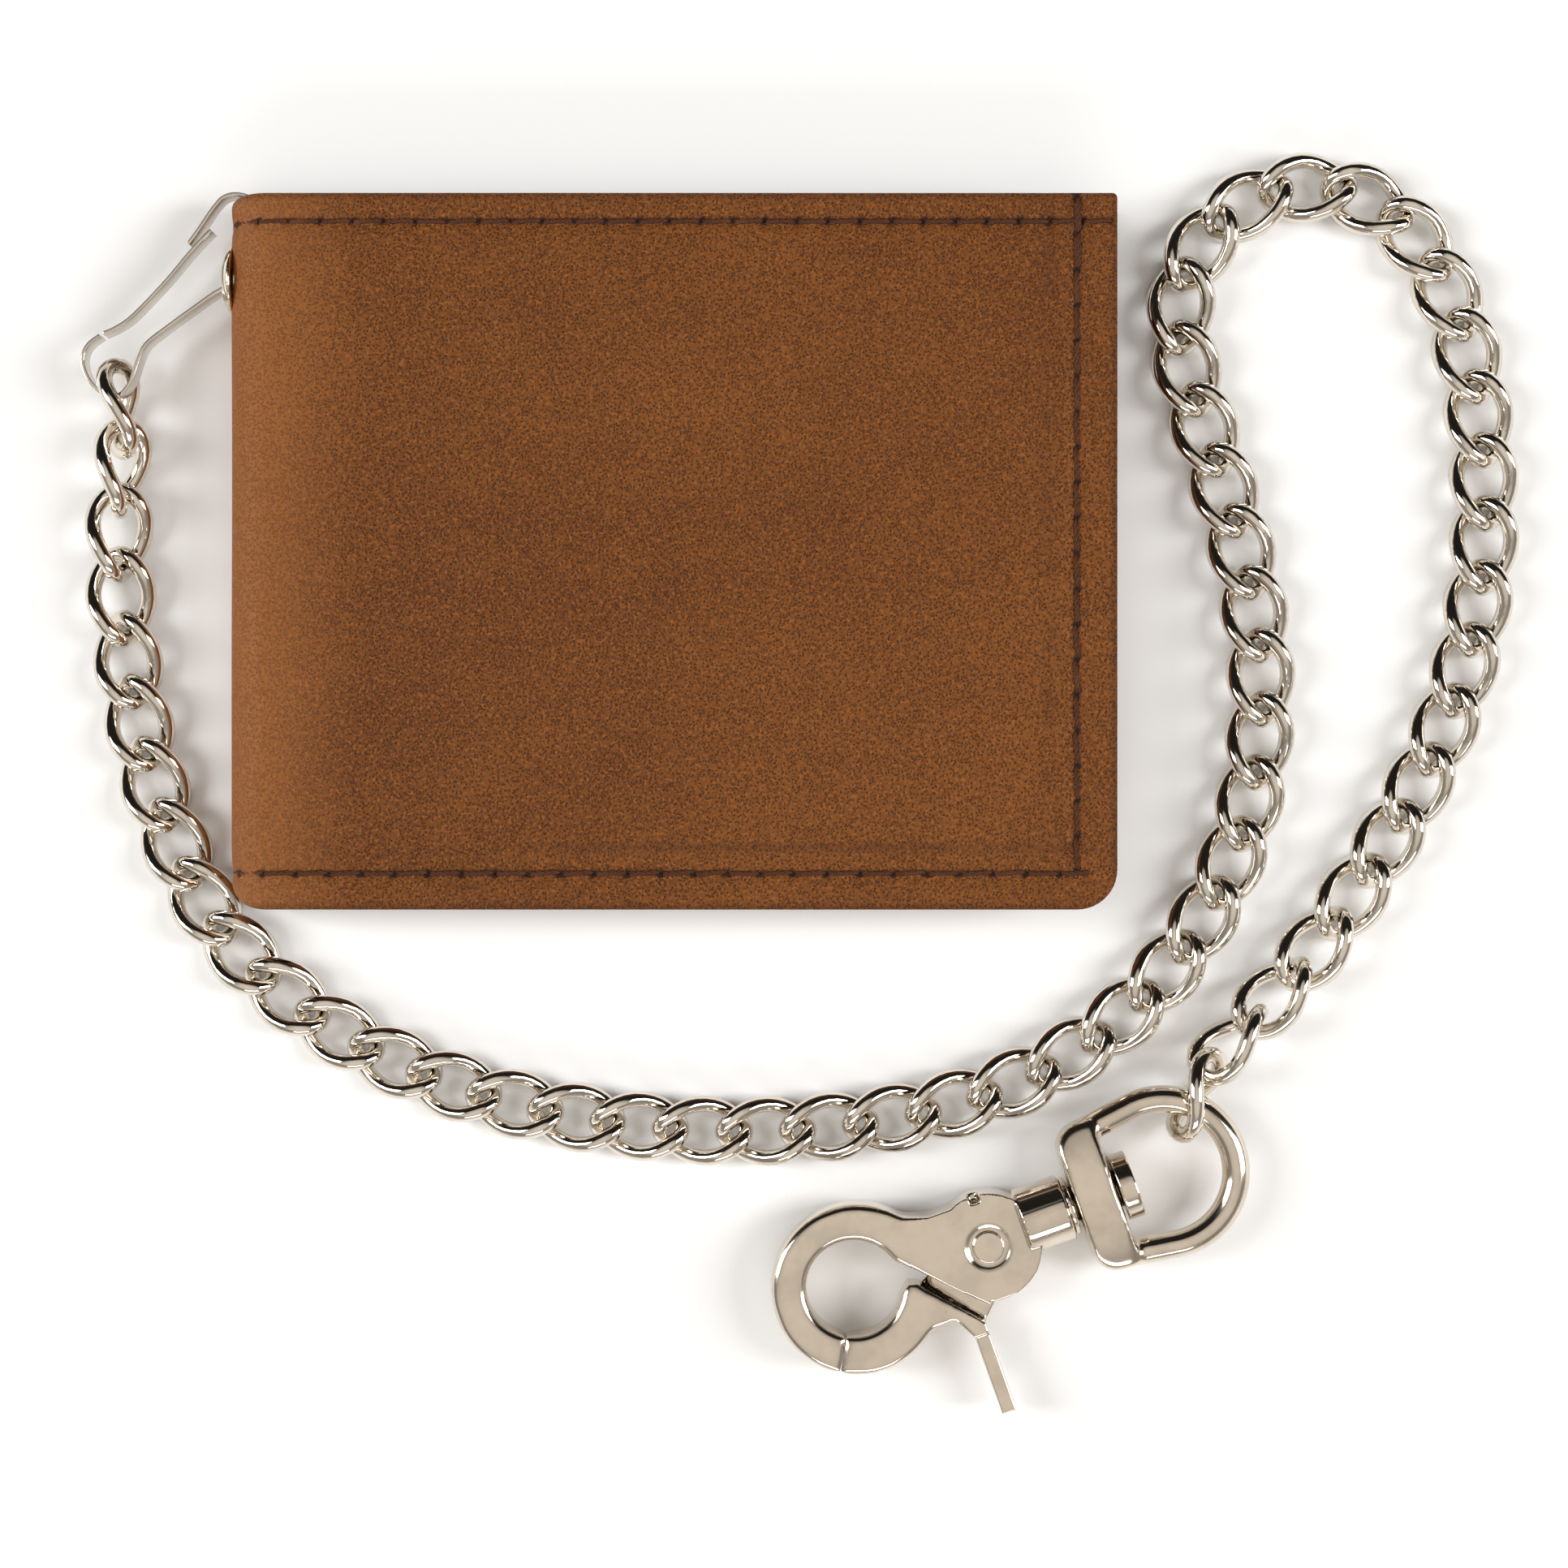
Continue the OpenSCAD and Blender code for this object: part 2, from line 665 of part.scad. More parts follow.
// Coil spring round the rivet, beside the tang
module gate_spring() {
    n = spring_turns * 14;
    rise = (fork_gap / 2 - 0.1 - spring_wire - (tang_z + tang_t + 0.1 + spring_wire)) / n;
    rings = [for (i = [0 : n]) let (w = i * 360 / 14, c = [cos(w), sin(w), 0])
        [for (k = [0 : SIDES - 1]) let (v = k * 360 / SIDES)
            c * (spring_r + spring_wire * cos(v))
                + [0, 0, tang_z + tang_t + 0.1 + spring_wire + i * rise + spring_wire * sin(v)]]];
    color("silver") snap_place() polyhedron(
        points = [for (r = rings) each r],
        faces = concat([[for (k = [0 : SIDES - 1]) k]],
            [for (i = [0 : n - 1]) for (k = [0 : SIDES - 1])
                let (a = i * SIDES + k, b = i * SIDES + (k + 1) % SIDES)
                each [[a, a + SIDES, b], [b, a + SIDES, b + SIDES]]],
            [[for (k = [SIDES - 1 : -1 : 0]) n * SIDES + k]]));
}

// ---- the parts --------------------------------------------------------------------

cover_half(fold_x);  // cover_back
cover_spine();
to_front() cover_half(fold_x + 0.1);  // cover_front
lining_half(fold_x);  // lining_back
lining_spine();
to_front() lining_half(fold_x + 0.1);  // lining_front
panel();  // panel_back
to_front() panel();  // panel_front
card_slot(1);  // card_slot_back_1
card_slot(2);  // card_slot_back_2
card_slot(3);  // card_slot_back_3
to_front() card_slot(1);  // card_slot_front_1
to_front() card_slot(2);  // card_slot_front_2
to_front() card_slot(3);  // card_slot_front_3
union() {  // thread_top_back
    thread_top(fold_x);
    fold_stitches(top_row_y, top_pitch);
}
thread_side();  // thread_side_back
union() {  // thread_bottom_back
    thread_bottom(fold_x);
    fold_stitches(bottom_row_y, bottom_pitch);
}
to_front() thread_top(fold_x + 0.1);  // thread_top_front
to_front() thread_side();  // thread_side_front
to_front() thread_bottom(fold_x + 0.1);  // thread_bottom_front
grommet();
grommet_washer();
clip_body();
clip_arm();
link_first();
for (k = [1 : GROUPS])
    chain_group(k);
link_last();
swivel_loop();
swivel_stem();
hook_body();
gate();
gate_spring();
rivet();
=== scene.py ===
# %% [markdown]
# # A bifold chain wallet
#
# The wallet lies closed on its back on a white table. A spring clip hangs in a grommet in the
# fold, and a curb chain runs from it round the wallet to a trigger snap on a swivel.
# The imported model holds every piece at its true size, so this lesson only gives each piece the
# shape and finish that a maker would see up close. All sizes are in metres.

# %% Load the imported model
import json
import math

import bmesh
import bpy
import numpy as np
from mathutils import Matrix, Vector

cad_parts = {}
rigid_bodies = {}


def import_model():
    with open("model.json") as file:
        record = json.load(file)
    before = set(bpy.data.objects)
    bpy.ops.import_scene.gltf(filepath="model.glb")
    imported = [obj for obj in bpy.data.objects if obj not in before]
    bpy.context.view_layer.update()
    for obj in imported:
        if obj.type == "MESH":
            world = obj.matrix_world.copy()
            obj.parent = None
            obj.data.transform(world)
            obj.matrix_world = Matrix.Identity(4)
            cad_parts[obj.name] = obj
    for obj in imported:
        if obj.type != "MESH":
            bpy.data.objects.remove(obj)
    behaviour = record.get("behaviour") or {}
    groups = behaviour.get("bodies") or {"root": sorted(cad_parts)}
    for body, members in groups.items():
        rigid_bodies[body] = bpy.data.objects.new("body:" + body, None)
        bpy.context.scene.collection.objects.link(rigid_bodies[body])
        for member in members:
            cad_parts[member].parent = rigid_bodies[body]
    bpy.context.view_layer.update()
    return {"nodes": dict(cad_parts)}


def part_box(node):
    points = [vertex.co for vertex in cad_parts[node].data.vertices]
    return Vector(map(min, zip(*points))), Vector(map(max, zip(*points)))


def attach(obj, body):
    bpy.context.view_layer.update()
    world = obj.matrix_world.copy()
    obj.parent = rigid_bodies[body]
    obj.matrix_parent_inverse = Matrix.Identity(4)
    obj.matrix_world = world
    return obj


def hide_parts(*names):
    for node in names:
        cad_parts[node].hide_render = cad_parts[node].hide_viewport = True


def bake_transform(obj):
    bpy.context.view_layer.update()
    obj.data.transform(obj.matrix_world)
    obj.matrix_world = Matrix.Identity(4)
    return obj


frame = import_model()
MM = 0.001

# %% [markdown]
# ## Camera, table and light
#
# Flat goods are shown straight from above. Polished nickel shows only what is round it, so the
# room matters as much as the lamps. Tall softboxes at both sides and a wide one at the near end
# give the white streaks. The far wall is nearly black above the table's edge and draws the dark
# lines in the metal, the near wall is a warm grey, and a pale ceiling fills the faces that look
# up. A room painted in the world shader does this with no extra objects.

# %% Camera and table
scene = bpy.context.scene
scene.view_settings.view_transform = "Standard"
VIEW_CENTRE = Vector((14.1 * MM, -28.9 * MM, 0))
CAMERA_HEIGHT = 360 * MM
FRAME_WIDTH = 200.8 * MM
SENSOR_WIDTH = 36

camera_data = bpy.data.cameras.new("camera")
camera_data.sensor_width = SENSOR_WIDTH
camera_data.lens = SENSOR_WIDTH * CAMERA_HEIGHT / FRAME_WIDTH
camera_data.clip_start = 0.01
camera = bpy.data.objects.new("camera", camera_data)
camera.location = VIEW_CENTRE + Vector((0, 0, CAMERA_HEIGHT))
scene.collection.objects.link(camera)
scene.camera = camera

TABLE_HALF = 4.0
TABLE_Z = -0.02 * MM
table_mesh = bpy.data.meshes.new("table")
table_mesh.from_pydata(
    [(x * TABLE_HALF, y * TABLE_HALF, TABLE_Z) for x, y in ((-1, -1), (1, -1), (1, 1), (-1, 1))],
    [], [(0, 1, 2, 3)])
table = bpy.data.objects.new("table", table_mesh)
scene.collection.objects.link(table)
table_white = bpy.data.materials.new("table_white")
table_white.use_nodes = True
table_shader = table_white.node_tree.nodes["Principled BSDF"]
table_shader.inputs["Base Color"].default_value = (0.955, 0.96, 0.965, 1)
table_shader.inputs["Roughness"].default_value = 0.9
table_mesh.materials.append(table_white)
print("camera height", camera.location.z, "lens", round(camera_data.lens, 1))

# %% [markdown]
# ## Maths on sockets
#
# Shader nodes are wired here as plain expressions. `Wire` wraps one output socket, and adding
# or multiplying two of them adds the Math node that does it. `Nodes.add` makes any other node:
# it takes the settings first, and then the values or wires of its inputs.

# %% A small language for node trees
class Wire:
    """One number that varies over a surface."""

    def __init__(self, tree, socket):
        self.tree, self.socket = tree, socket

    def _math(self, operation, *values):
        node = self.tree.nodes.new("ShaderNodeMath")
        node.operation = operation
        for entry, value in zip(node.inputs, values):
            if isinstance(value, Wire):
                self.tree.links.new(value.socket, entry)
            else:
                entry.default_value = value
        return Wire(self.tree, node.outputs[0])

    def __add__(self, other): return self._math("ADD", self, other)
    def __radd__(self, other): return self._math("ADD", other, self)
    def __sub__(self, other): return self._math("SUBTRACT", self, other)
    def __rsub__(self, other): return self._math("SUBTRACT", other, self)
    def __mul__(self, other): return self._math("MULTIPLY", self, other)
    def __rmul__(self, other): return self._math("MULTIPLY", other, self)
    def __pow__(self, other): return self._math("POWER", self, other)
    def __neg__(self): return self._math("MULTIPLY", self, -1)
    def __abs__(self): return self._math("ABSOLUTE", self)
    def sin(self): return self._math("SINE", self)
    def cos(self): return self._math("COSINE", self)
    def least(self, other): return self._math("MINIMUM", self, other)
    def most(self, other): return self._math("MAXIMUM", self, other)

    def step(self, low, high):
        """0 below low, 1 above high, smooth between."""
        node = self.tree.nodes.new("ShaderNodeMapRange")
        node.interpolation_type = "SMOOTHSTEP"
        self.tree.links.new(self.socket, node.inputs["Value"])
        node.inputs["From Min"].default_value = low
        node.inputs["From Max"].default_value = high
        return Wire(self.tree, node.outputs["Result"])


class Nodes:
    """A node tree to be written as expressions."""

    def __init__(self, tree):
        self.tree = tree

    def wire(self, socket):
        return Wire(self.tree, socket)

    def add(self, kind, settings=None, **inputs):
        """Makes a node.

        An input is named by its label with _ for a space, or i0, i1 by its place.
        """
        node = self.tree.nodes.new(kind)
        for key, value in (settings or {}).items():
            setattr(node, key, value)
        for key, value in inputs.items():
            by_place = key[0] == "i" and key[1:].isdigit()
            entry = node.inputs[int(key[1:])] if by_place else node.inputs[key.replace("_", " ")]
            value = value.socket if isinstance(value, Wire) else value
            if isinstance(value, bpy.types.NodeSocket):
                self.tree.links.new(value, entry)
            else:
                entry.default_value = value
        return node


class Paint(Nodes):
    """A material written as expressions, on one Principled shader."""

    def __init__(self, name, **fixed):
        self.material = bpy.data.materials.new(name)
        self.material.use_nodes = True
        super().__init__(self.material.node_tree)
        self.shader = self.tree.nodes["Principled BSDF"]
        for key, value in fixed.items():
            self.shader.inputs[key.replace("_", " ")].default_value = value
        self.place = self.add("ShaderNodeTexCoord").outputs["Object"]
        split = self.add("ShaderNodeSeparateXYZ", Vector=self.place)
        self.x, self.y, self.z = (self.wire(split.outputs[k]) for k in range(3))

    def noise(self, size, detail=3.0, rough=0.55, place=None):
        """Noise from 0 to 1 whose blobs are about `size` metres across."""
        node = self.add("ShaderNodeTexNoise", Vector=place or self.place, Scale=1 / size,
                        Detail=detail, Roughness=rough)
        return self.wire(node.outputs["Fac"])

    def cells(self, size, feature="F1", place=None):
        """Distance to the nearest of scattered points, in units of `size`."""
        node = self.add("ShaderNodeTexVoronoi", {"feature": feature}, Vector=place or self.place,
                        Scale=1 / size)
        return self.wire(node.outputs["Distance"])

    def stretched(self, x, y, z):
        """The place with each axis scaled, for a grain that runs one way."""
        return self.add("ShaderNodeMapping", Vector=self.place, Scale=(x, y, z)).outputs[0]

    def mix(self, amount, first, second):
        """From the first colour to the second."""
        node = self.add("ShaderNodeMix", {"data_type": "RGBA"}, i0=amount, i6=first, i7=second)
        return node.outputs[2]

    def colour(self, socket): self.tree.links.new(socket, self.shader.inputs["Base Color"])
    def roughness(self, wire): self.tree.links.new(wire.socket, self.shader.inputs["Roughness"])

    def relief(self, *layers):
        """Bumps, each a (height wire, depth in metres, strength) of its own."""
        normal = None
        for height, depth, strength in layers:
            node = self.add("ShaderNodeBump", Height=height, Distance=depth, Strength=strength)
            if normal:
                self.tree.links.new(normal, node.inputs["Normal"])
            normal = node.outputs[0]
        self.tree.links.new(normal, self.shader.inputs["Normal"])


def srgb(red, green, blue):
    """A colour picked on a screen, as the linear values that shaders use."""
    return tuple((v / 255 / 12.92) if v <= 10 else ((v / 255 + 0.055) / 1.055) ** 2.4
                 for v in (red, green, blue)) + (1.0,)


print("a mid grey of 128 on a screen is", round(srgb(128, 128, 128)[0], 3), "in a shader")

# %% Softboxes and the painted room
def softbox(name, place, size, power):
    light = bpy.data.lights.new(name, "AREA")
    light.shape = "RECTANGLE"
    light.size, light.size_y = size
    light.energy = power
    lamp = bpy.data.objects.new(name, light)
    lamp.location = place
    lamp.rotation_euler = (VIEW_CENTRE - Vector(place)).to_track_quat("-Z", "Y").to_euler()
    scene.collection.objects.link(lamp)


softbox("softbox_left", (-0.98, 0.10, 0.72), (0.42, 0.8), 9.5)
softbox("softbox_right", (1.0, 0.0, 0.72), (0.42, 0.8), 9.5)
softbox("softbox_near", (0.05, -1.25, 0.80), (1.1, 0.30), 4.5)

world = bpy.data.worlds.new("studio_room")
world.use_nodes = True
scene.world = world
room = Nodes(world.node_tree)
direction = room.add("ShaderNodeTexCoord").outputs["Generated"]
split = room.add("ShaderNodeSeparateXYZ", Vector=direction)
height, depth = (room.wire(split.outputs[k]) for k in (2, 1))
WARM = (1.0, 0.93, 0.845)


def wall(*stops):
    """Brightness of the room from the table's level (0) to straight overhead (1)."""
    node = room.add("ShaderNodeValToRGB", Fac=height)
    node.color_ramp.interpolation = "EASE"
    for _ in stops[2:]:
        node.color_ramp.elements.new(0.5)
    for element, (where, bright) in zip(node.color_ramp.elements, stops):
        element.position = where
        element.color = (*(bright * tint for tint in WARM), 1)
    return node.outputs[0]


far_wall = wall((0.0, 0.9), (0.10, 0.7), (0.17, 0.02), (0.80, 0.015), (0.89, 0.50), (1.0, 0.80))
near_wall = wall((0.0, 0.95), (0.16, 0.85), (0.30, 0.30), (0.62, 0.30), (0.84, 0.74), (1.0, 0.80))
mixed = room.add("ShaderNodeMix", {"data_type": "RGBA"}, i0=depth.step(-0.30, 0.12),
                 i6=near_wall, i7=far_wall)
background = world.node_tree.nodes["Background"]
world.node_tree.links.new(mixed.outputs[2], background.inputs["Color"])

# %% [markdown]
# ## Finishes
#
# Pull-up leather is dyed through and filled with wax. Bending pushes the wax aside, so it is
# paler along the fold, and handling leaves clouds of darker colour. Close up it has pores a few
# tenths of a millimetre apart joined by fine creases. The relief comes from two scattered-cell
# patterns and two noises. The colour comes from broad clouds with specks and dark pores in
# them, so no two places are alike.

# %% Cover leather
SPINE_LOW, SPINE_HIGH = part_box("cover_spine")
FOLD_X = SPINE_HIGH[0]
FREE_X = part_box("cover_back")[1][0]
TOP_Y, LOW_Y = SPINE_HIGH[1], SPINE_LOW[1]
CLOSED_T = SPINE_HIGH[2]
# The lines that a folding tool presses beside the side and bottom seams.
SIDE_CREASE = FREE_X - 8.8 * MM
BOTTOM_CREASE = LOW_Y + 7.7 * MM


def cover_leather():
    p = Paint("cover_leather", Specular_IOR_Level=0.18)
    clouds = p.noise(0.030, 4, 0.6)
    streaks = p.noise(0.018, 4, 0.6, p.stretched(0.35, 1.6, 1))
    mottle = p.noise(0.0042, 4, 0.65)
    speck = p.noise(0.00042, 2, 0.6)
    pores = 1 - p.cells(0.00034).step(0.12, 0.62)
    tone = (clouds * 0.46 + streaks * 0.32 + mottle * 0.22).step(0.25, 0.75)
    colour = p.mix(tone, srgb(96, 52, 18), srgb(126, 74, 29))
    colour = p.mix(speck.step(0.48, 0.66) * 0.60, colour, srgb(158, 95, 42))
    colour = p.mix(pores * speck.step(0.30, 0.54) * 0.90, colour, srgb(42, 22, 9))
    near_fold = 1 - p.x.step(FOLD_X - 0.004, FOLD_X + 0.013)
    colour = p.mix(near_fold * 0.50, colour, srgb(166, 106, 58))
    side_rub = 1 - abs(p.x - (SIDE_CREASE + 0.3 * MM)).step(0.0, 0.0022)
    low_rub = 1 - abs(p.y - BOTTOM_CREASE).step(0.0, 0.0012)
    rub = (side_rub * mottle.step(0.40, 0.62)).most(low_rub * streaks.step(0.42, 0.6))
    colour = p.mix(rub * 0.35, colour, srgb(70, 40, 20))
    edge = (FREE_X - p.x).least(p.y - LOW_Y).least(TOP_Y - p.y)
    colour = p.mix((1 - edge.step(0.0001, 0.0012)) * 0.45, colour, srgb(60, 33, 16))
    # Painted shade: the deepest dents of the outer face, the needle holes, are painted nearly black
    # for the shade inside them.
    dent_for_shade = p.wire(p.add("ShaderNodeAttribute", {"attribute_name": "seam_press"}).outputs["Fac"])
    colour = p.mix(dent_for_shade.step(0.62, 1.15) * 0.92, colour, srgb(30, 15, 8))
    p.colour(colour)
    p.roughness(0.50 + clouds * 0.12 + pores * 0.10 - speck * 0.06)
    crease = 1 - p.cells(0.0011, "DISTANCE_TO_EDGE").step(0.0, 0.13)
    p.relief((mottle, 0.00022, 0.35), (-crease, 0.00005, 0.40), (-pores, 0.00010, 0.85),
             (speck, 0.00006, 0.6))
    return p.material


COVER_LEATHER = cover_leather()
print("closed wallet", round((FREE_X - SPINE_LOW[0]) / MM, 1), "x", round((TOP_Y - LOW_Y) / MM, 1),
      "x", round(CLOSED_T / MM, 1), "mm")

# %% Leather edges, lining and inside pieces
def raw_edge():
    p = Paint("raw_edge", Specular_IOR_Level=0.25)
    fibre = p.noise(0.0003, 4, 0.7, p.stretched(1, 1, 3))
    layers = p.noise(0.0016, 3, 0.6, p.stretched(0.3, 0.3, 2.5))
    tone = (fibre * 0.6 + layers * 0.4).step(0.3, 0.7)
    p.colour(p.mix(tone, srgb(46, 25, 13), srgb(104, 62, 34)))
    p.roughness(0.62 + fibre * 0.25)
    p.relief((fibre, 0.0001, 0.7))
    return p.material


def thin_leather(name, dark, light, shine):
    p = Paint(name, Specular_IOR_Level=0.3)
    clouds = p.noise(0.016, 4, 0.6)
    grain = p.cells(0.00062).step(0.1, 0.6)
    fibre = p.noise(0.00035, 4, 0.7)
    colour = p.mix(clouds.step(0.35, 0.65), dark, light)
    p.colour(p.mix((1 - grain) * 0.45, colour, dark))
    p.roughness(shine + fibre * 0.18)
    p.relief((grain, 0.00006, 0.5), (fibre, 0.00004, 0.5))
    return p.material


RAW_EDGE = raw_edge()
LINING_LEATHER = thin_leather("lining_leather", srgb(70, 42, 24), srgb(104, 66, 40), 0.60)
POCKET_LEATHER = thin_leather("pocket_leather", srgb(80, 45, 22), srgb(120, 72, 38), 0.48)
print("leathers:", [m.name for m in bpy.data.materials if "leather" in m.name])

# %% [markdown]
# Waxed thread is three plies laid together. The plies are modelled, so the paint only adds
# their fibres and the wax. Nickel plate is nearly a mirror with a warm cast; what tells it from
# chrome is a slight haze, hairline scratches and a little unevenness of the casting below.

# %% Thread and metals
def waxed_thread():
    p = Paint("waxed_thread", Specular_IOR_Level=0.22)
    fibre = p.noise(0.00012, 3, 0.7)
    wear = p.noise(0.004, 3)
    colour = p.mix(fibre.step(0.3, 0.7), srgb(46, 26, 17), srgb(104, 62, 40))
    p.colour(p.mix(wear.step(0.5, 0.75) * 0.35, colour, srgb(128, 82, 54)))
    p.roughness(0.45 + fibre * 0.3)
    p.relief((fibre, 0.00005, 0.6))
    return p.material


def plated(name, tint, haze, wave_size, wave_depth, tarnish=0.0):
    p = Paint(name, Metallic=1.0)
    cloud = p.noise(0.006, 3, 0.6)
    hair = p.noise(0.0009, 2, 0.5, p.stretched(6, 0.5, 1))
    pits = 1 - p.cells(0.0023).step(0.03, 0.09)
    colour = p.mix(cloud.step(0.35, 0.7), srgb(*tint), srgb(*(v * 0.93 for v in tint)))
    colour = p.mix(pits * cloud.step(0.45, 0.6) * 0.35, colour, srgb(120, 108, 94))
    if tarnish:
        spots = p.noise(0.0016, 3, 0.6).step(0.735, 0.80)
        colour = p.mix(spots * tarnish, colour, srgb(150, 118, 50))
    p.colour(colour)
    p.roughness(haze + cloud * 0.05 + hair.step(0.55, 0.8) * 0.05 + pits * 0.15)
    waves = p.noise(wave_size, 2, 0.4)
    p.relief((waves, wave_depth, 0.5), (hair, 0.000004, 0.3))
    return p.material


WAXED_THREAD = waxed_thread()
NICKEL_CASTING = plated("nickel_casting", (226, 215, 200), 0.10, 0.0032, 0.00003)
NICKEL_WIRE = plated("nickel_wire", (230, 222, 210), 0.06, 0.0028, 0.00002, 0.8)
SPRING_STEEL = plated("spring_steel", (216, 209, 198), 0.15, 0.0030, 0.00001)
print("materials:", len(bpy.data.materials))

# %% [markdown]
# ## Mesh helpers
#
# Each finished piece is one plain mesh at the origin with its place in its points, as the packed
# nodes are. `new_piece` makes one from points and faces and gives it its finish, and `hand_over`
# hides the imported nodes it stands for and sets it on the body that carries it.

# %% Make and hand over a piece
def new_piece(name, points, faces, *materials):
    mesh = bpy.data.meshes.new(name)
    mesh.from_pydata([tuple(p) for p in points], [], faces)
    for material in materials:
        mesh.materials.append(material)
    mesh.polygons.foreach_set("use_smooth", [True] * len(mesh.polygons))
    piece = bpy.data.objects.new(name, mesh)
    scene.collection.objects.link(piece)
    return piece


def bake_modifiers(piece):
    """Turns a piece with modifiers into a plain mesh."""
    bpy.context.view_layer.update()
    plain = bpy.data.meshes.new_from_object(
        piece.evaluated_get(bpy.context.evaluated_depsgraph_get()))
    piece.modifiers.clear()
    piece.data = plain
    plain.name = piece.name
    return piece


def face_outwards(piece):
    """Turns a closed mesh's faces outwards."""
    shell = bmesh.new()
    shell.from_mesh(piece.data)
    bmesh.ops.recalc_face_normals(shell, faces=shell.faces)
    if shell.calc_volume(signed=True) < 0:
        bmesh.ops.reverse_faces(shell, faces=shell.faces)
    shell.to_mesh(piece.data)
    shell.free()


def hand_over(piece, nodes, body=None):
    """Hides the imported nodes that a finished piece stands for and sets it on its body; a piece
    given no body stays unparented.
    """
    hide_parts(*nodes)
    if body:
        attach(piece, body)
    print(piece.name, len(piece.data.polygons), "faces")

# %% [markdown]
# ## The cover
#
# The cover is one sheet of leather that wraps the fold. A sheet that follows a rule is best
# made as a grid: one direction runs round the fold and out to the free edge, the other up the
# wallet. Each grid point has an outer and an inner copy, which gives the leather its thickness.
# The outer copy is pressed down along the seams, pulled in at every needle hole and left a
# little wavy, because those small shadows are what make it look sewn.

# %% Seams shared by the leather and the thread
TOP_SEAM = TOP_Y - 3.5 * MM
BOTTOM_SEAM = LOW_Y + 4.5 * MM
SIDE_SEAM = FREE_X - 5.0 * MM
COVER_T = 1.3 * MM
FOLD_R = CLOSED_T / 2
BOTTOM_END = SIDE_SEAM + 2.0 * MM
PITCH = {"top": 3.9 * MM, "bottom": 4.1 * MM, "side": 4.4 * MM}


def holes(low, high, pitch):
    """Needle holes, evenly spaced from low to high."""
    return np.linspace(low, high, round((high - low) / pitch) + 1)


FOLD_LENGTH = math.pi * FOLD_R
FREE_S = FOLD_LENGTH + FREE_X - FOLD_X
TOP_HOLES = holes(0.0, FREE_S - 0.4 * MM, PITCH["top"])
BOTTOM_HOLES = holes(0.0, FOLD_LENGTH + BOTTOM_END - FOLD_X, PITCH["bottom"])
SIDE_HOLES = holes(BOTTOM_SEAM + 0.2 * MM, TOP_Y - 0.6 * MM, PITCH["side"])
print("needle holes:", len(TOP_HOLES), "top,", len(SIDE_HOLES), "side,",
      len(BOTTOM_HOLES), "bottom")


# %% How the seams press the leather
def dip(distance, width):
    """A soft dent, 1 in its middle and nearly 0 at twice its width."""
    return np.exp(-(distance / width) ** 2)


CREASE_DEPTH, CREASE_WIDTH = 0.05 * MM, 0.5 * MM
WAVE_DEPTH = 0.05 * MM


def pressed(s, y):
    """How far the outer face is pressed in, at a run s round the fold and a height y."""
    across = s - FOLD_LENGTH + FOLD_X
    deep = np.zeros(np.broadcast(s, y).shape)
    rows = (
        (np.abs(y - TOP_SEAM), s, TOP_HOLES, s < FREE_S),
        (np.abs(y - BOTTOM_SEAM), s, BOTTOM_HOLES, s < BOTTOM_HOLES[-1]),
        (np.abs(across - SIDE_SEAM), y, SIDE_HOLES, (y > BOTTOM_SEAM) & (y < TOP_Y)),
    )
    for away, run, row, on in rows:
        nearest = np.min(np.abs(run[..., None] - row), axis=-1)
        seam = 0.17 * dip(away, 0.75 * MM) + 0.10 * dip(away, 2.0 * MM)
        hole = 0.42 * dip(away, 0.5 * MM) * dip(nearest, 0.55 * MM)
        deep = np.maximum(deep, on * MM * (seam + hole))
    deep = deep + CREASE_DEPTH * dip(across - SIDE_CREASE, CREASE_WIDTH) * (y > BOTTOM_SEAM)
    deep = deep + CREASE_DEPTH * dip(y - BOTTOM_CREASE, CREASE_WIDTH) * (across > FOLD_X)
    wave = np.sin(s * 61 + y * 23 + 0.4) + np.sin(s * 37 - y * 83 + 1.9)
    wave = wave + np.sin(y * 140 + s * 19)
    return deep + WAVE_DEPTH * (wave + 3) / 3


# %% Outline of the closed wallet
CORNERS = {"fold_low": 3.5 * MM, "fold_top": 1.2 * MM, "free_low": 5.0 * MM, "free_top": 0.6 * MM}
LOW_BAND, TOP_BAND = CORNERS["free_low"], CORNERS["fold_top"]


def corner_cut(y, low_r, top_r):
    """How far a rounded corner draws the end of each row in."""
    from_low = np.clip(low_r - (y - LOW_Y), 0, low_r)
    from_top = np.clip(top_r - (TOP_Y - y), 0, top_r)
    return low_r - np.sqrt(low_r ** 2 - from_low ** 2) + top_r - np.sqrt(top_r ** 2 - from_top ** 2)


def rows_of_height():
    """Heights of the grid's rows, closer together near the rounded corners."""
    low = LOW_Y + LOW_BAND * (1 - np.cos(np.linspace(0, math.pi / 2, 12)))
    middle = np.linspace(LOW_Y + LOW_BAND, TOP_Y - TOP_BAND, 118)[1:]
    top = TOP_Y - TOP_BAND * (1 - np.sin(np.linspace(0, math.pi / 2, 6)))[1:]
    return np.concatenate([low, middle, top])


print("rows of the leather grid:", len(rows_of_height()))


# %% Points of the sheet
DRAWN_IN_FROM = 0.86


def sheet_point(s, y, inward):
    """A point of the front and fold, at a run s round the fold, inward of the outer face."""
    reach = FOLD_R - corner_cut(y, CORNERS["fold_low"], CORNERS["fold_top"])
    angle = np.clip(s / FOLD_R, 0, math.pi)
    x = FOLD_X - np.sin(angle) * (reach - inward)
    z = FOLD_R - np.cos(angle) * (FOLD_R - inward)
    flat = np.clip(s - FOLD_LENGTH, 0, None)
    full = FREE_X - FOLD_X
    end = full - corner_cut(y, CORNERS["free_low"], CORNERS["free_top"])
    slant = np.clip((flat / full - DRAWN_IN_FROM) / (1 - DRAWN_IN_FROM), 0, 1)
    x = x + flat - slant * (full - end)
    return x, y + 0 * s, z


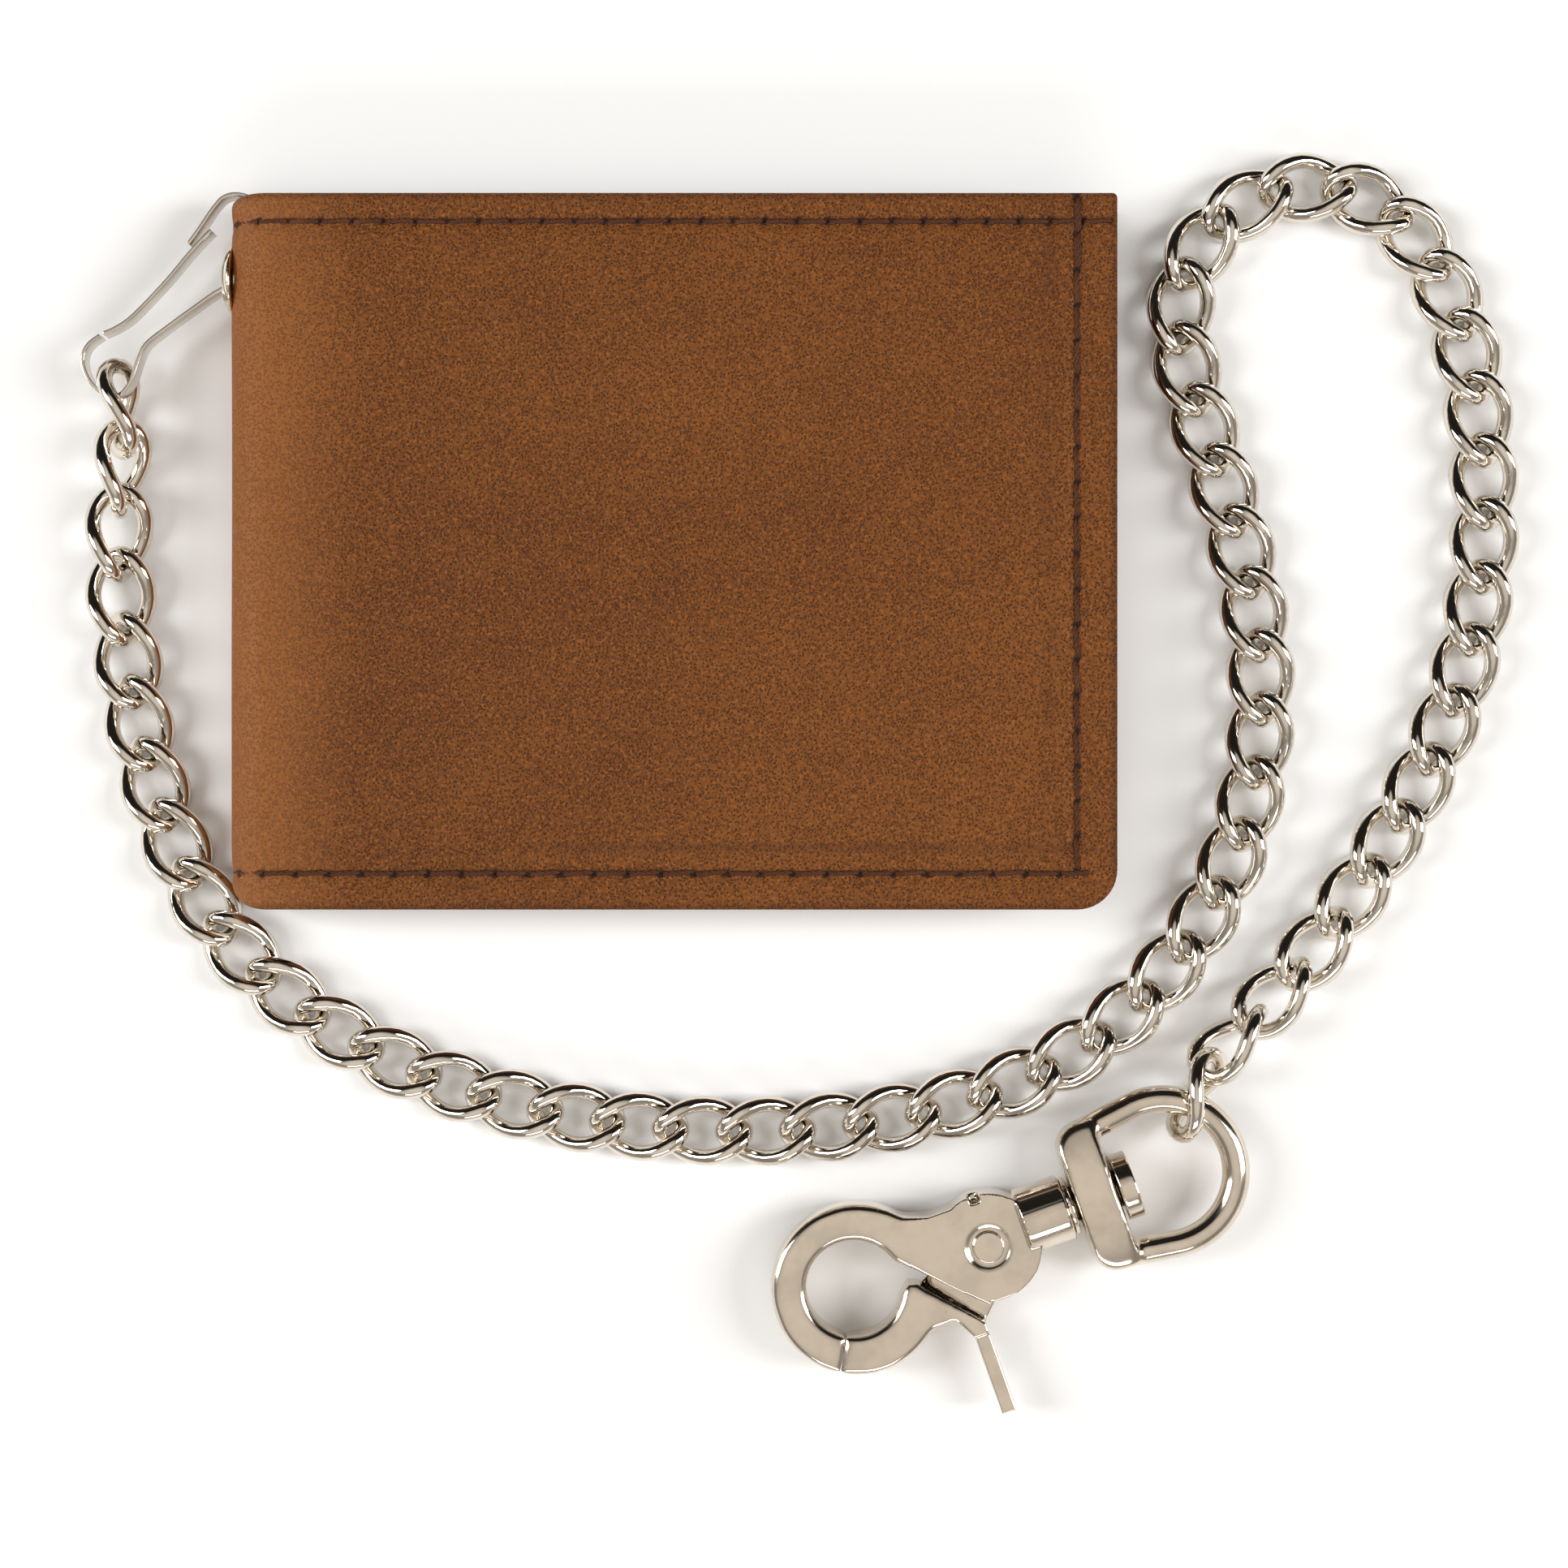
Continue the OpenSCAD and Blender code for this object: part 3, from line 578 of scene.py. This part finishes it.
# %% A sheet with two faces and a rim
FLAT_COLUMNS = 150
FULL_PRESS = 0.45 * MM


def leather_sheet(name, first_s, flip):
    """A closed sheet with an outer and an inner face; flip lays it under as the back cover."""
    y = rows_of_height()
    s = np.concatenate([np.linspace(0, FOLD_LENGTH, 26)[:-1],
                        np.linspace(FOLD_LENGTH, FREE_S, FLAT_COLUMNS)])
    s = s[s >= first_s - 1e-9]
    grid_s, grid_y = np.meshgrid(s, y)
    outer = np.stack(sheet_point(grid_s, grid_y, pressed(grid_s, grid_y)), -1)
    inner = np.stack(sheet_point(grid_s, grid_y, COVER_T), -1)
    if flip:
        for face in (outer, inner):
            face[..., 2] = CLOSED_T - face[..., 2]
    rows, cols = grid_s.shape
    points = np.concatenate([outer.reshape(-1, 3), inner.reshape(-1, 3)])
    index = np.arange(rows * cols).reshape(rows, cols)
    other = index + rows * cols
    faces = []
    for i in range(rows - 1):
        for j in range(cols - 1):
            a, b, c, d = index[i, j], index[i, j + 1], index[i + 1, j + 1], index[i + 1, j]
            e, f, g, h = other[i, j], other[i, j + 1], other[i + 1, j + 1], other[i + 1, j]
            faces += [(a, b, c, d), (h, g, f, e)]
    loops = []
    for grid in (index, other):
        loops.append([*grid[0, :], *grid[1:, -1], *grid[-1, -2::-1], *grid[-2:0:-1, 0]])
    rim, below = loops
    side_faces = len(faces)
    for k in range(len(rim)):
        n = (k + 1) % len(rim)
        faces.append((rim[n], rim[k], below[k], below[n]))
    piece = new_piece(name, points, faces, COVER_LEATHER, RAW_EDGE)
    for polygon in piece.data.polygons[side_faces:]:
        polygon.material_index = 1
    # The outer face's dent depth is kept on the mesh, and the leather's paint turns its deepest
    # part, at the needle holes, into painted shade.
    dent_for_shade = piece.data.attributes.new("seam_press", "FLOAT", "POINT")
    depth = np.concatenate([pressed(grid_s, grid_y).ravel(), np.zeros(rows * cols)])
    dent_for_shade.data.foreach_set("value", (depth / FULL_PRESS).astype(np.float32))
    face_outwards(piece)
    bevel = piece.modifiers.new("worn_edge", "BEVEL")
    bevel.width = 0.28 * MM
    bevel.segments = 3
    bevel.limit_method = "ANGLE"
    bevel.angle_limit = math.radians(60)
    return piece


# %% The two covers
GROMMET_HOLE_R = 2.72 * MM


def drill_grommet_hole(piece):
    """Cuts the round hole in the fold that the grommet's barrel fills."""
    low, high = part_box("grommet")
    middle = [(a + b) / 2 for a, b in zip(low, high)]
    bpy.ops.mesh.primitive_cylinder_add(vertices=40, radius=GROMMET_HOLE_R, depth=12 * MM,
                                        location=(FOLD_X - FOLD_R, middle[1], middle[2]),
                                        rotation=(0, math.pi / 2, 0))
    punch = bpy.context.object
    cut = piece.modifiers.new("grommet_hole", "BOOLEAN")
    cut.operation = "DIFFERENCE"
    cut.object = punch
    cut.solver = "EXACT"
    bake_modifiers(piece)
    bpy.data.objects.remove(punch)


front_leather = leather_sheet("front_and_fold_leather", 0.0, False)
drill_grommet_hole(front_leather)
hand_over(front_leather, ["cover_front", "cover_spine"])
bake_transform(front_leather)

back_leather = bake_modifiers(leather_sheet("back_leather", FOLD_LENGTH, True))
hand_over(back_leather, ["cover_back"], "wallet")

# %% [markdown]
# ## Things in rows
#
# Stitches and chain links are one shape repeated with a place and a direction. Geometry Nodes
# do that well: a bare mesh holds one point for each copy with two directions, `along` and `up`,
# and the node tree builds the shape once and sets a copy on every point. The tree ends in
# Realize Instances, and the result is turned into a plain mesh.

# %% Node trees that repeat a shape
def repeat_tree(name, sizes, shape):
    """A Geometry Nodes tree with named sizes, whose shape(nodes, sizes) is set on every point."""
    tree = bpy.data.node_groups.new(name, "GeometryNodeTree")
    tree.interface.new_socket("Geometry", in_out="INPUT", socket_type="NodeSocketGeometry")
    tree.interface.new_socket("Finish", in_out="INPUT", socket_type="NodeSocketMaterial")
    for label in sizes:
        tree.interface.new_socket(label, in_out="INPUT", socket_type="NodeSocketFloat")
    tree.interface.new_socket("Geometry", in_out="OUTPUT", socket_type="NodeSocketGeometry")
    nodes = Nodes(tree)
    entry = nodes.add("NodeGroupInput")
    wires = {label: nodes.wire(entry.outputs[label]) for label in sizes}
    made = shape(nodes, wires)
    axes = {}
    for label in ("along", "up"):
        found = nodes.add("GeometryNodeInputNamedAttribute", {"data_type": "FLOAT_VECTOR"},
                          Name=label)
        axes[label] = found.outputs["Attribute"]
    turn = nodes.add("FunctionNodeAxesToRotation", {"primary_axis": "X", "secondary_axis": "Z"},
                     Primary_Axis=axes["along"], Secondary_Axis=axes["up"])
    copies = nodes.add("GeometryNodeInstanceOnPoints", Points=entry.outputs["Geometry"],
                       Instance=made, Rotation=turn.outputs[0])
    real = nodes.add("GeometryNodeRealizeInstances", Geometry=copies.outputs[0])
    soft = nodes.add("GeometryNodeSetShadeSmooth", Geometry=real.outputs[0])
    painted = nodes.add("GeometryNodeSetMaterial", Geometry=soft.outputs[0],
                        Material=entry.outputs["Finish"])
    nodes.add("NodeGroupOutput", Geometry=painted.outputs[0])
    return tree


def repeat(name, tree, places, finish, sizes):
    """A plain mesh with the tree's shape at each place: (position, along, up)."""
    piece = new_piece(name, [place[0] for place in places], [])
    for k, label in ((1, "along"), (2, "up")):
        layer = piece.data.attributes.new(label, "FLOAT_VECTOR", "POINT")
        layer.data.foreach_set("vector", np.array([place[k] for place in places], float).ravel())
    row = piece.modifiers.new("row", "NODES")
    row.node_group = tree
    values = {"Finish": finish, **sizes}
    for item in tree.interface.items_tree:
        if item.in_out == "INPUT" and item.name in values:
            row[item.identifier] = values[item.name]
    return bake_modifiers(piece)


# %% [markdown]
# ## Stitches
#
# A stitch is a short run of three-ply thread whose ends dive into the needle holes. Each ply is
# a helix round the stitch's bowed middle line.

# %% The stitch
PLIES = 3


def stitch_shape(nodes, size):
    line = nodes.add("GeometryNodeCurvePrimitiveLine", Start=(-0.5, 0, 0), End=(0.5, 0, 0))
    fine = nodes.add("GeometryNodeResampleCurve", Curve=line.outputs[0], Count=10)
    run = nodes.wire(nodes.add("GeometryNodeSplineParameter").outputs["Factor"]) - 0.5
    bow = abs(run * 2) ** 5
    radius = size["Thread radius"]
    ply = nodes.add("GeometryNodeCurvePrimitiveCircle", Resolution=4, Radius=radius * 0.56)
    plies = nodes.add("GeometryNodeJoinGeometry")
    for k in range(PLIES):
        angle = run * 8.5 + k * 2 * math.pi / PLIES
        place = nodes.add("ShaderNodeCombineXYZ", X=run * size["Length"],
                          Y=angle.cos() * radius * 0.5,
                          Z=angle.sin() * radius * 0.5 - bow * size["Dive"])
        bent = nodes.add("GeometryNodeSetPosition", Geometry=fine.outputs[0],
                         Position=place.outputs[0])
        tube = nodes.add("GeometryNodeCurveToMesh", Curve=bent.outputs[0],
                         Profile_Curve=ply.outputs[0], Fill_Caps=True)
        nodes.tree.links.new(tube.outputs[0], plies.inputs[0])
    return plies.outputs[0]


STITCH = repeat_tree("stitch_row", ("Length", "Thread radius", "Dive"), stitch_shape)
THREAD_R = 0.33 * MM
SEAT = 0.20 * MM
hand = np.random.default_rng(11)
print("stitch thread", round(2 * THREAD_R / MM, 2), "mm thick, of", PLIES, "plies")


# %% Places of the stitches
def sewn(places, start, stop, up):
    """Adds one stitch from start to stop, a little unlike its neighbours."""
    start, stop = np.array(start, float), np.array(stop, float)
    along = stop - start
    aside = np.cross(up, along) * (0.05 + hand.normal(0, 0.03))
    places.append(((start + stop) / 2 + aside * 0.15, along + aside, up))


def outside_row(run, y, back):
    """Stitches round the fold and along a face at a height y: one list for each body."""
    lists = {"wallet": [], "front_half": []}
    for a, b in zip(run[:-1], run[1:]):
        p, q = (np.array([float(v) for v in sheet_point(np.float64(s), np.float64(y), SEAT)])
                for s in (a, b))
        middle = (a + b) / 2
        angle = min(middle / FOLD_R, math.pi)
        up = np.array([-math.sin(angle), 0, -math.cos(angle)])
        on_fold = middle < FOLD_LENGTH
        if back and on_fold:
            continue
        if back:
            p[2], q[2], up[2] = CLOSED_T - p[2] + SEAT, CLOSED_T - q[2] + SEAT, -up[2]
        sewn(lists["wallet" if on_fold or back else "front_half"], p, q, up)
    return lists


def side_row(z_of, up, offset=0.0, low=-1.0):
    """Stitches up the side seam, at the height that z_of gives, from the hole at low."""
    places = []
    x = SIDE_SEAM + offset
    for a, b in zip(SIDE_HOLES[:-1], SIDE_HOLES[1:]):
        if a < low:
            continue
        z = z_of((a + b) / 2)
        if z is not None:
            sewn(places, (x, a + offset, z), (x, b + offset, z), up)
    return places


def inner_face(y):
    """Height of the innermost leather of the back half at a height y, or None above the panel."""
    for node in ("card_slot_back_3", "card_slot_back_2", "card_slot_back_1", "panel_back"):
        low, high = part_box(node)
        if y < high[1] - 1.5 * MM:
            return high[2] + 0.12 * MM
    return None


def inner_bottom_row():
    """Stitches along the bottom seam on the inside of the back half."""
    first_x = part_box("panel_back")[0][0] + 0.8 * MM
    run = np.arange(first_x, SIDE_SEAM - 1 * MM, PITCH["bottom"])
    z = inner_face(BOTTOM_SEAM)
    places = []
    for a, b in zip(run[:-1], run[1:]):
        sewn(places, (a, BOTTOM_SEAM, z), (b, BOTTOM_SEAM, z), (0, 0, 1))
    return places


def turned_over(places):
    """The same stitches on the front half, whose faces are the back half's turned over."""
    flip = np.array([1, 1, -1])
    lift = np.array([0, 0, CLOSED_T])
    return [(np.array(place) * flip + lift, np.array(along) * flip, np.array(up) * flip)
            for place, along, up in places]


# %% Sew every seam
UP, DOWN = (0, 0, 1), (0, 0, -1)
top_front = outside_row(TOP_HOLES, TOP_SEAM, False)
top_back = outside_row(TOP_HOLES, TOP_SEAM, True)
low_front = outside_row(BOTTOM_HOLES, BOTTOM_SEAM, False)
low_back = outside_row(BOTTOM_HOLES, BOTTOM_SEAM, True)
inner_side = side_row(inner_face, UP)
inner_low = inner_bottom_row()
side_out = side_row(lambda y: CLOSED_T - SEAT, UP)
side_under = side_row(lambda y: 2 * SEAT, DOWN)
back_tack = side_row(lambda y: CLOSED_T - SEAT / 2, UP, 0.22 * MM, TOP_Y - 12 * MM)
SEAMS = {
    "top_seam_front": (top_front["front_half"], "thread_top_front", "front_half", PITCH["top"]),
    "top_seam_back": (top_front["wallet"] + top_back["wallet"], "thread_top_back", "wallet",
                      PITCH["top"]),
    "side_seam_front": (side_out + back_tack + turned_over(inner_side), "thread_side_front",
                        "front_half", PITCH["side"]),
    "side_seam_back": (side_under + inner_side, "thread_side_back", "wallet", PITCH["side"]),
    "bottom_seam_front": (low_front["front_half"] + turned_over(inner_low), "thread_bottom_front",
                          "front_half", PITCH["bottom"]),
    "bottom_seam_back": (low_front["wallet"] + low_back["wallet"] + inner_low,
                         "thread_bottom_back", "wallet", PITCH["bottom"]),
}
for name, (places, node, body, pitch) in SEAMS.items():
    sizes = {"Length": pitch - 0.55 * MM, "Thread radius": THREAD_R, "Dive": 0.42 * MM}
    hand_over(repeat(name, STITCH, places, WAXED_THREAD, sizes), [node], body)

# %% [markdown]
# ## The curb chain
#
# A curb link is an oval of round wire whose two ends are twisted against each other, so that
# each link lies flat in its neighbours. The oval and the twist are one formula on the points of
# a circle. The chain's route over the table is a list of given points, and a smooth
# curve near them gives each link its place and heading. The links next to the clip and the
# swivel roll onto their edges step by step.

# %% The curb link
def curb_shape(nodes, size):
    ring = nodes.add("GeometryNodeCurvePrimitiveCircle", Resolution=32, Radius=1.0)
    turn = nodes.wire(nodes.add("GeometryNodeSplineParameter").outputs["Factor"]) * (2 * math.pi)
    x, y = size["Half length"] * turn.cos(), size["Half width"] * turn.sin()
    twist = -(turn.cos() * size["Twist"])
    place = nodes.add("ShaderNodeCombineXYZ", X=x, Y=y * twist.cos(), Z=y * twist.sin())
    oval = nodes.add("GeometryNodeSetPosition", Geometry=ring.outputs[0], Position=place.outputs[0])
    wire = nodes.add("GeometryNodeCurvePrimitiveCircle", Resolution=12,
                     Radius=size["Wire radius"])
    tube = nodes.add("GeometryNodeCurveToMesh", Curve=oval.outputs[0],
                     Profile_Curve=wire.outputs[0])
    return tube.outputs[0]


CURB = repeat_tree("curb_links", ("Half length", "Half width", "Wire radius", "Twist"), curb_shape)
LINK = {"Half length": 5.47 * MM, "Half width": 3.44 * MM, "Wire radius": 1.03 * MM,
        "Twist": math.radians(45)}
print("curb link", round(2 * (LINK["Half length"] + LINK["Wire radius"]) / MM, 1), "mm long")

# %% The route over the table
ROUTE = np.array([
    (-69.7, 11), (-70.5, 1), (-69.8, -12), (-67.4, -25), (-63.5, -37), (-57.8, -48), (-48.5, -57),
    (-36, -64.5), (-22, -69.5), (-6.5, -72.5), (10, -73.5), (27, -72), (43, -68), (57.5, -59.5),
    (68.5, -46), (74.4, -30), (75.4, -13), (71.8, 4), (66.6, 19), (63.6, 30), (66, 39.6),
    (73.6, 46.3), (83.8, 47.8), (93, 43.3), (98.6, 34.5), (101.8, 24), (103.4, 11), (103.2, -5),
    (98.8, -21.5), (91.2, -36.2), (81.6, -50.4), (70.6, -61.6)]) * MM
# Rolls about the long axis, in degrees, of the links next to the clip and next to the swivel.
ROLL_START = [-65, -36, -17]
ROLL_END = [6.6, 22, 36, 60.5]
# x and y in millimetres, heading and roll in degrees, and the height of the middle.
FIRST_LINK = (-69.7, 18.5, -85, -92, 4.9)
LAST_LINK = (66.3, -68.2, -114, 100, 4.35)
GROUPS, GROUP = 11, 5
SPAN_STEPS = 12


def smooth_line(route):
    """Points near the route's own, with its ends kept: a uniform cubic B-spline."""
    q = np.concatenate([[2 * route[0] - route[1]], route, [2 * route[-1] - route[-2]]])
    line = []
    for i in range(1, len(q) - 2):
        for t in np.arange(SPAN_STEPS) / SPAN_STEPS:
            line.append(spline_point(q[i - 1:i + 3], t))
    return np.array(line + [spline_point(q[-4:], 1.0)])


def spline_point(p, t):
    """The place at t from 0 to 1 along the span of four control points."""
    weights = ((1 - t) ** 3, 3 * t ** 3 - 6 * t * t + 4, 3 * t * t - 3 * t ** 3 + 3 * t + 1, t ** 3)
    return sum(w * v for w, v in zip(weights, p)) / 6


line = smooth_line(ROUTE)
travelled = np.concatenate([[0], np.cumsum(np.linalg.norm(np.diff(line, axis=0), axis=1))])
LINKS = GROUPS * GROUP
link_pitch = travelled[-1] / (LINKS - 1)
print("chain route", round(travelled[-1] / MM, 1), "mm, pitch", round(link_pitch / MM, 3), "mm")


# %% A place for every link
def on_line(s):
    """The point of the route at a distance s from its start."""
    s = min(max(s, 0), travelled[-1])
    return np.array([np.interp(s, travelled, line[:, k]) for k in (0, 1)])


def link_place(x, y, heading, roll, z):
    """A link's place from its heading on the table and its roll about its long axis."""
    along = np.array([math.cos(heading), math.sin(heading), 0])
    left = np.array([-math.sin(heading), math.cos(heading), 0])
    up = np.array([0, 0, 1]) * math.cos(roll) - left * math.sin(roll)
    return (x, y, z), along, up


def rest_height(roll):
    """How high a link's middle lies when it rests on the table with that roll."""
    t = np.linspace(0, 2 * math.pi, 180)
    y = LINK["Half width"] * np.sin(t)
    twist = -LINK["Twist"] * np.cos(t)
    z = y * np.cos(twist) * math.sin(roll) + y * np.sin(twist) * math.cos(roll)
    return LINK["Wire radius"] - z.min()


def chain_places():
    """The links between the two end links, evenly spaced on the route."""
    rolls = ROLL_START + [0] * (LINKS - len(ROLL_START) - len(ROLL_END)) + ROLL_END
    for k, roll in enumerate(rolls):
        s = k * link_pitch
        x, y = on_line(s)
        ahead = on_line(s + link_pitch / 2) - on_line(s - link_pitch / 2)
        roll = math.radians(roll)
        yield link_place(x, y, math.atan2(ahead[1], ahead[0]), roll, rest_height(roll))


def end_link(x, y, heading, roll, z):
    return link_place(x * MM, y * MM, math.radians(heading), math.radians(roll), z * MM)


# %% Lay the chain
chain = list(chain_places())
pieces = {"first_curb_link": ([end_link(*FIRST_LINK)], "link_first", "first_link"),
          "last_curb_link": ([end_link(*LAST_LINK)], "link_last", "last_link")}
for k in range(1, GROUPS + 1):
    node = f"chain_{k}"
    pieces[f"curb_links_{k}"] = (chain[(k - 1) * GROUP:k * GROUP], node, node)
for name, (places, node, body) in pieces.items():
    hand_over(repeat(name, CURB, places, NICKEL_WIRE, LINK), [node], body)

# %% [markdown]
# ## Castings
#
# The snap and its swivel are die castings: their faces are flat or round, but no edge is sharp,
# because the pattern is rounded, the metal shrinks and the plating is polished. A copy of the
# exact node is turned into an even skin of tiny squares, and each point is moved a little
# towards its neighbours, many times over. A weight on each point says how much: the ring of the
# snap gets round, and the head, the fork and the trigger keep their shape. Points of the ring
# don't slide along it, so that the gate still meets the hook.

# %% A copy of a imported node
def node_copy(name, node, finish):
    """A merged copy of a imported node."""
    source = next(o for o in bpy.data.objects if o.get("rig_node") == node or o.name == node)
    mesh = source.data.copy()
    mesh.materials.clear()
    mesh.materials.append(finish)
    shell = bmesh.new()
    shell.from_mesh(mesh)
    bmesh.ops.remove_doubles(shell, verts=shell.verts, dist=0.002 * MM)
    shell.to_mesh(mesh)
    shell.free()
    piece = bpy.data.objects.new(name, mesh)
    scene.collection.objects.link(piece)
    return piece


# %% Relax a skin
HALF_WAY = 0.5


def relax(mesh, passes, weight, held):
    """Moves every point towards the middle of its neighbours, by its own weight from 0 to 1.

    `held` gives each point a direction in which it may not move.
    """
    count = len(mesh.vertices)
    points = np.empty(count * 3)
    mesh.vertices.foreach_get("co", points)
    points = points.reshape(-1, 3)
    ends = np.empty(len(mesh.edges) * 2, dtype=np.int64)
    mesh.edges.foreach_get("vertices", ends)
    one, two = ends[0::2], ends[1::2]
    share = np.bincount(ends, minlength=count)[:, None]
    amount = HALF_WAY * np.clip(weight(points / MM), 0, 1)[:, None]
    fixed = held(points / MM)
    for _ in range(passes):
        total = np.stack([np.bincount(one, points[two, k], count)
                          + np.bincount(two, points[one, k], count) for k in range(3)], -1)
        move = amount * (total / share - points)
        points = points + move - np.sum(move * fixed, axis=1, keepdims=True) * fixed
    mesh.vertices.foreach_set("co", points.ravel())


def cast(name, node, finish, voxel, passes, weight, held, straight):
    """A rounded copy of a node. It is relaxed where the matrix `straight` is undone."""
    piece = node_copy(name, node, finish)
    piece.data.transform(straight.inverted())
    skin = piece.modifiers.new("skin", "REMESH")
    skin.mode = "VOXEL"
    skin.voxel_size = voxel
    skin.use_smooth_shade = True
    bake_modifiers(piece)
    relax(piece.data, passes, weight, held)
    piece.data.transform(straight)
    return piece


# %% Where each casting is rounded, in millimetres from the rivet with the snap laid straight
EYE_X, EYE_Y = -17.7, 0.7
LITTLE = 0.05


def everywhere(p):
    """The same weight on every point."""
    return np.ones(len(p))


def free(p):
    """No direction is held."""
    return np.zeros(p.shape)


def round_the_eye(p):
    """Along the ring, so that its two ends stay where they meet."""
    around = np.stack([EYE_Y - p[:, 1], p[:, 0] - EYE_X, 0 * p[:, 0]], -1)
    return around / np.maximum(np.linalg.norm(around, axis=1, keepdims=True), 1e-6)


def round_ring(p):
    """All of the ring, little of the head with its rivet seat and the edges of the fork."""
    return np.clip((-p[:, 0] - 6) / 6, LITTLE, 1)


def round_jaw(p):
    """The jaw, but little of the cleft's edge, the tang and the trigger."""
    trigger = np.clip((-p[:, 1] - 10) / 1.5, 0, 1)
    return np.clip((-p[:, 0] - 4.5) / 5, LITTLE, 1) * (1 - 0.92 * trigger)


def round_block(p):
    """The block of the swivel loop; the bars are round already."""
    return np.clip((19.5 - p[:, 0]) / 2, LITTLE, 1)


# %% Cast and polished pieces
SNAP_HEADING = math.radians(19.5)
rivet_low, rivet_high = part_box("rivet")
rivet_middle = [(a + b) / 2 for a, b in zip(rivet_low, rivet_high)]
SNAP_FRAME = Matrix.Translation(rivet_middle) @ Matrix.Rotation(SNAP_HEADING, 4, "Z")
CASTINGS = {
    "hook_casting": ("hook_body", 0.20, 90, round_ring, round_the_eye, "snap"),
    "gate_casting": ("gate", 0.18, 90, round_jaw, round_the_eye, "gate"),
    "swivel_loop_casting": ("swivel_loop", 0.20, 45, round_block, free, "swivel_loop"),
    "swivel_stem_turning": ("swivel_stem", 0.15, 6, everywhere, free, "snap"),
    "gate_rivet": ("rivet", 0.11, 5, everywhere, free, "snap"),
    "grommet_pressing": ("grommet", 0.12, 4, everywhere, free, "wallet"),
}
for name, (node, voxel, passes, weight, held, body) in CASTINGS.items():
    piece = cast(name, node, NICKEL_CASTING, voxel * MM, passes, weight, held,
                 Matrix.Identity(4) if body == "wallet" else SNAP_FRAME)
    hand_over(piece, [node], body)

# %% [markdown]
# ## The spring clip
#
# The clip is flat spring wire bent on edge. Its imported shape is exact, and only wants its sharp
# corners rolled over, as drawn wire has.

# %% Rolled edges for the clip
def rolled(name, node, finish, width):
    piece = node_copy(name, node, finish)
    bevel = piece.modifiers.new("rolled_edge", "BEVEL")
    bevel.width = width
    bevel.segments = 3
    bevel.limit_method = "ANGLE"
    bevel.angle_limit = math.radians(50)
    bake_modifiers(piece)
    piece.data.polygons.foreach_set("use_smooth", [True] * len(piece.data.polygons))
    piece.data.set_sharp_from_angle(angle=math.radians(45))
    return piece


ROLLED_EDGE = 0.12 * MM
CLIP = {"clip_strip": ("clip_body", "wallet"), "clip_spring_arm": ("clip_arm", "clip_arm")}
for name, (node, body) in CLIP.items():
    hand_over(rolled(name, node, SPRING_STEEL, ROLLED_EDGE), [node], body)

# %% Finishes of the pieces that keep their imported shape
KEPT = {"lining": LINING_LEATHER, "panel": POCKET_LEATHER, "card_slot": POCKET_LEATHER,
        "gate_spring": SPRING_STEEL, "grommet_washer": NICKEL_CASTING}
for node, kept in frame["nodes"].items():
    for start, finish in KEPT.items():
        if node.startswith(start):
            kept.data.materials.clear()
            kept.data.materials.append(finish)
print("finished", sum(node.startswith(tuple(KEPT)) for node in frame["nodes"]), "packed nodes")
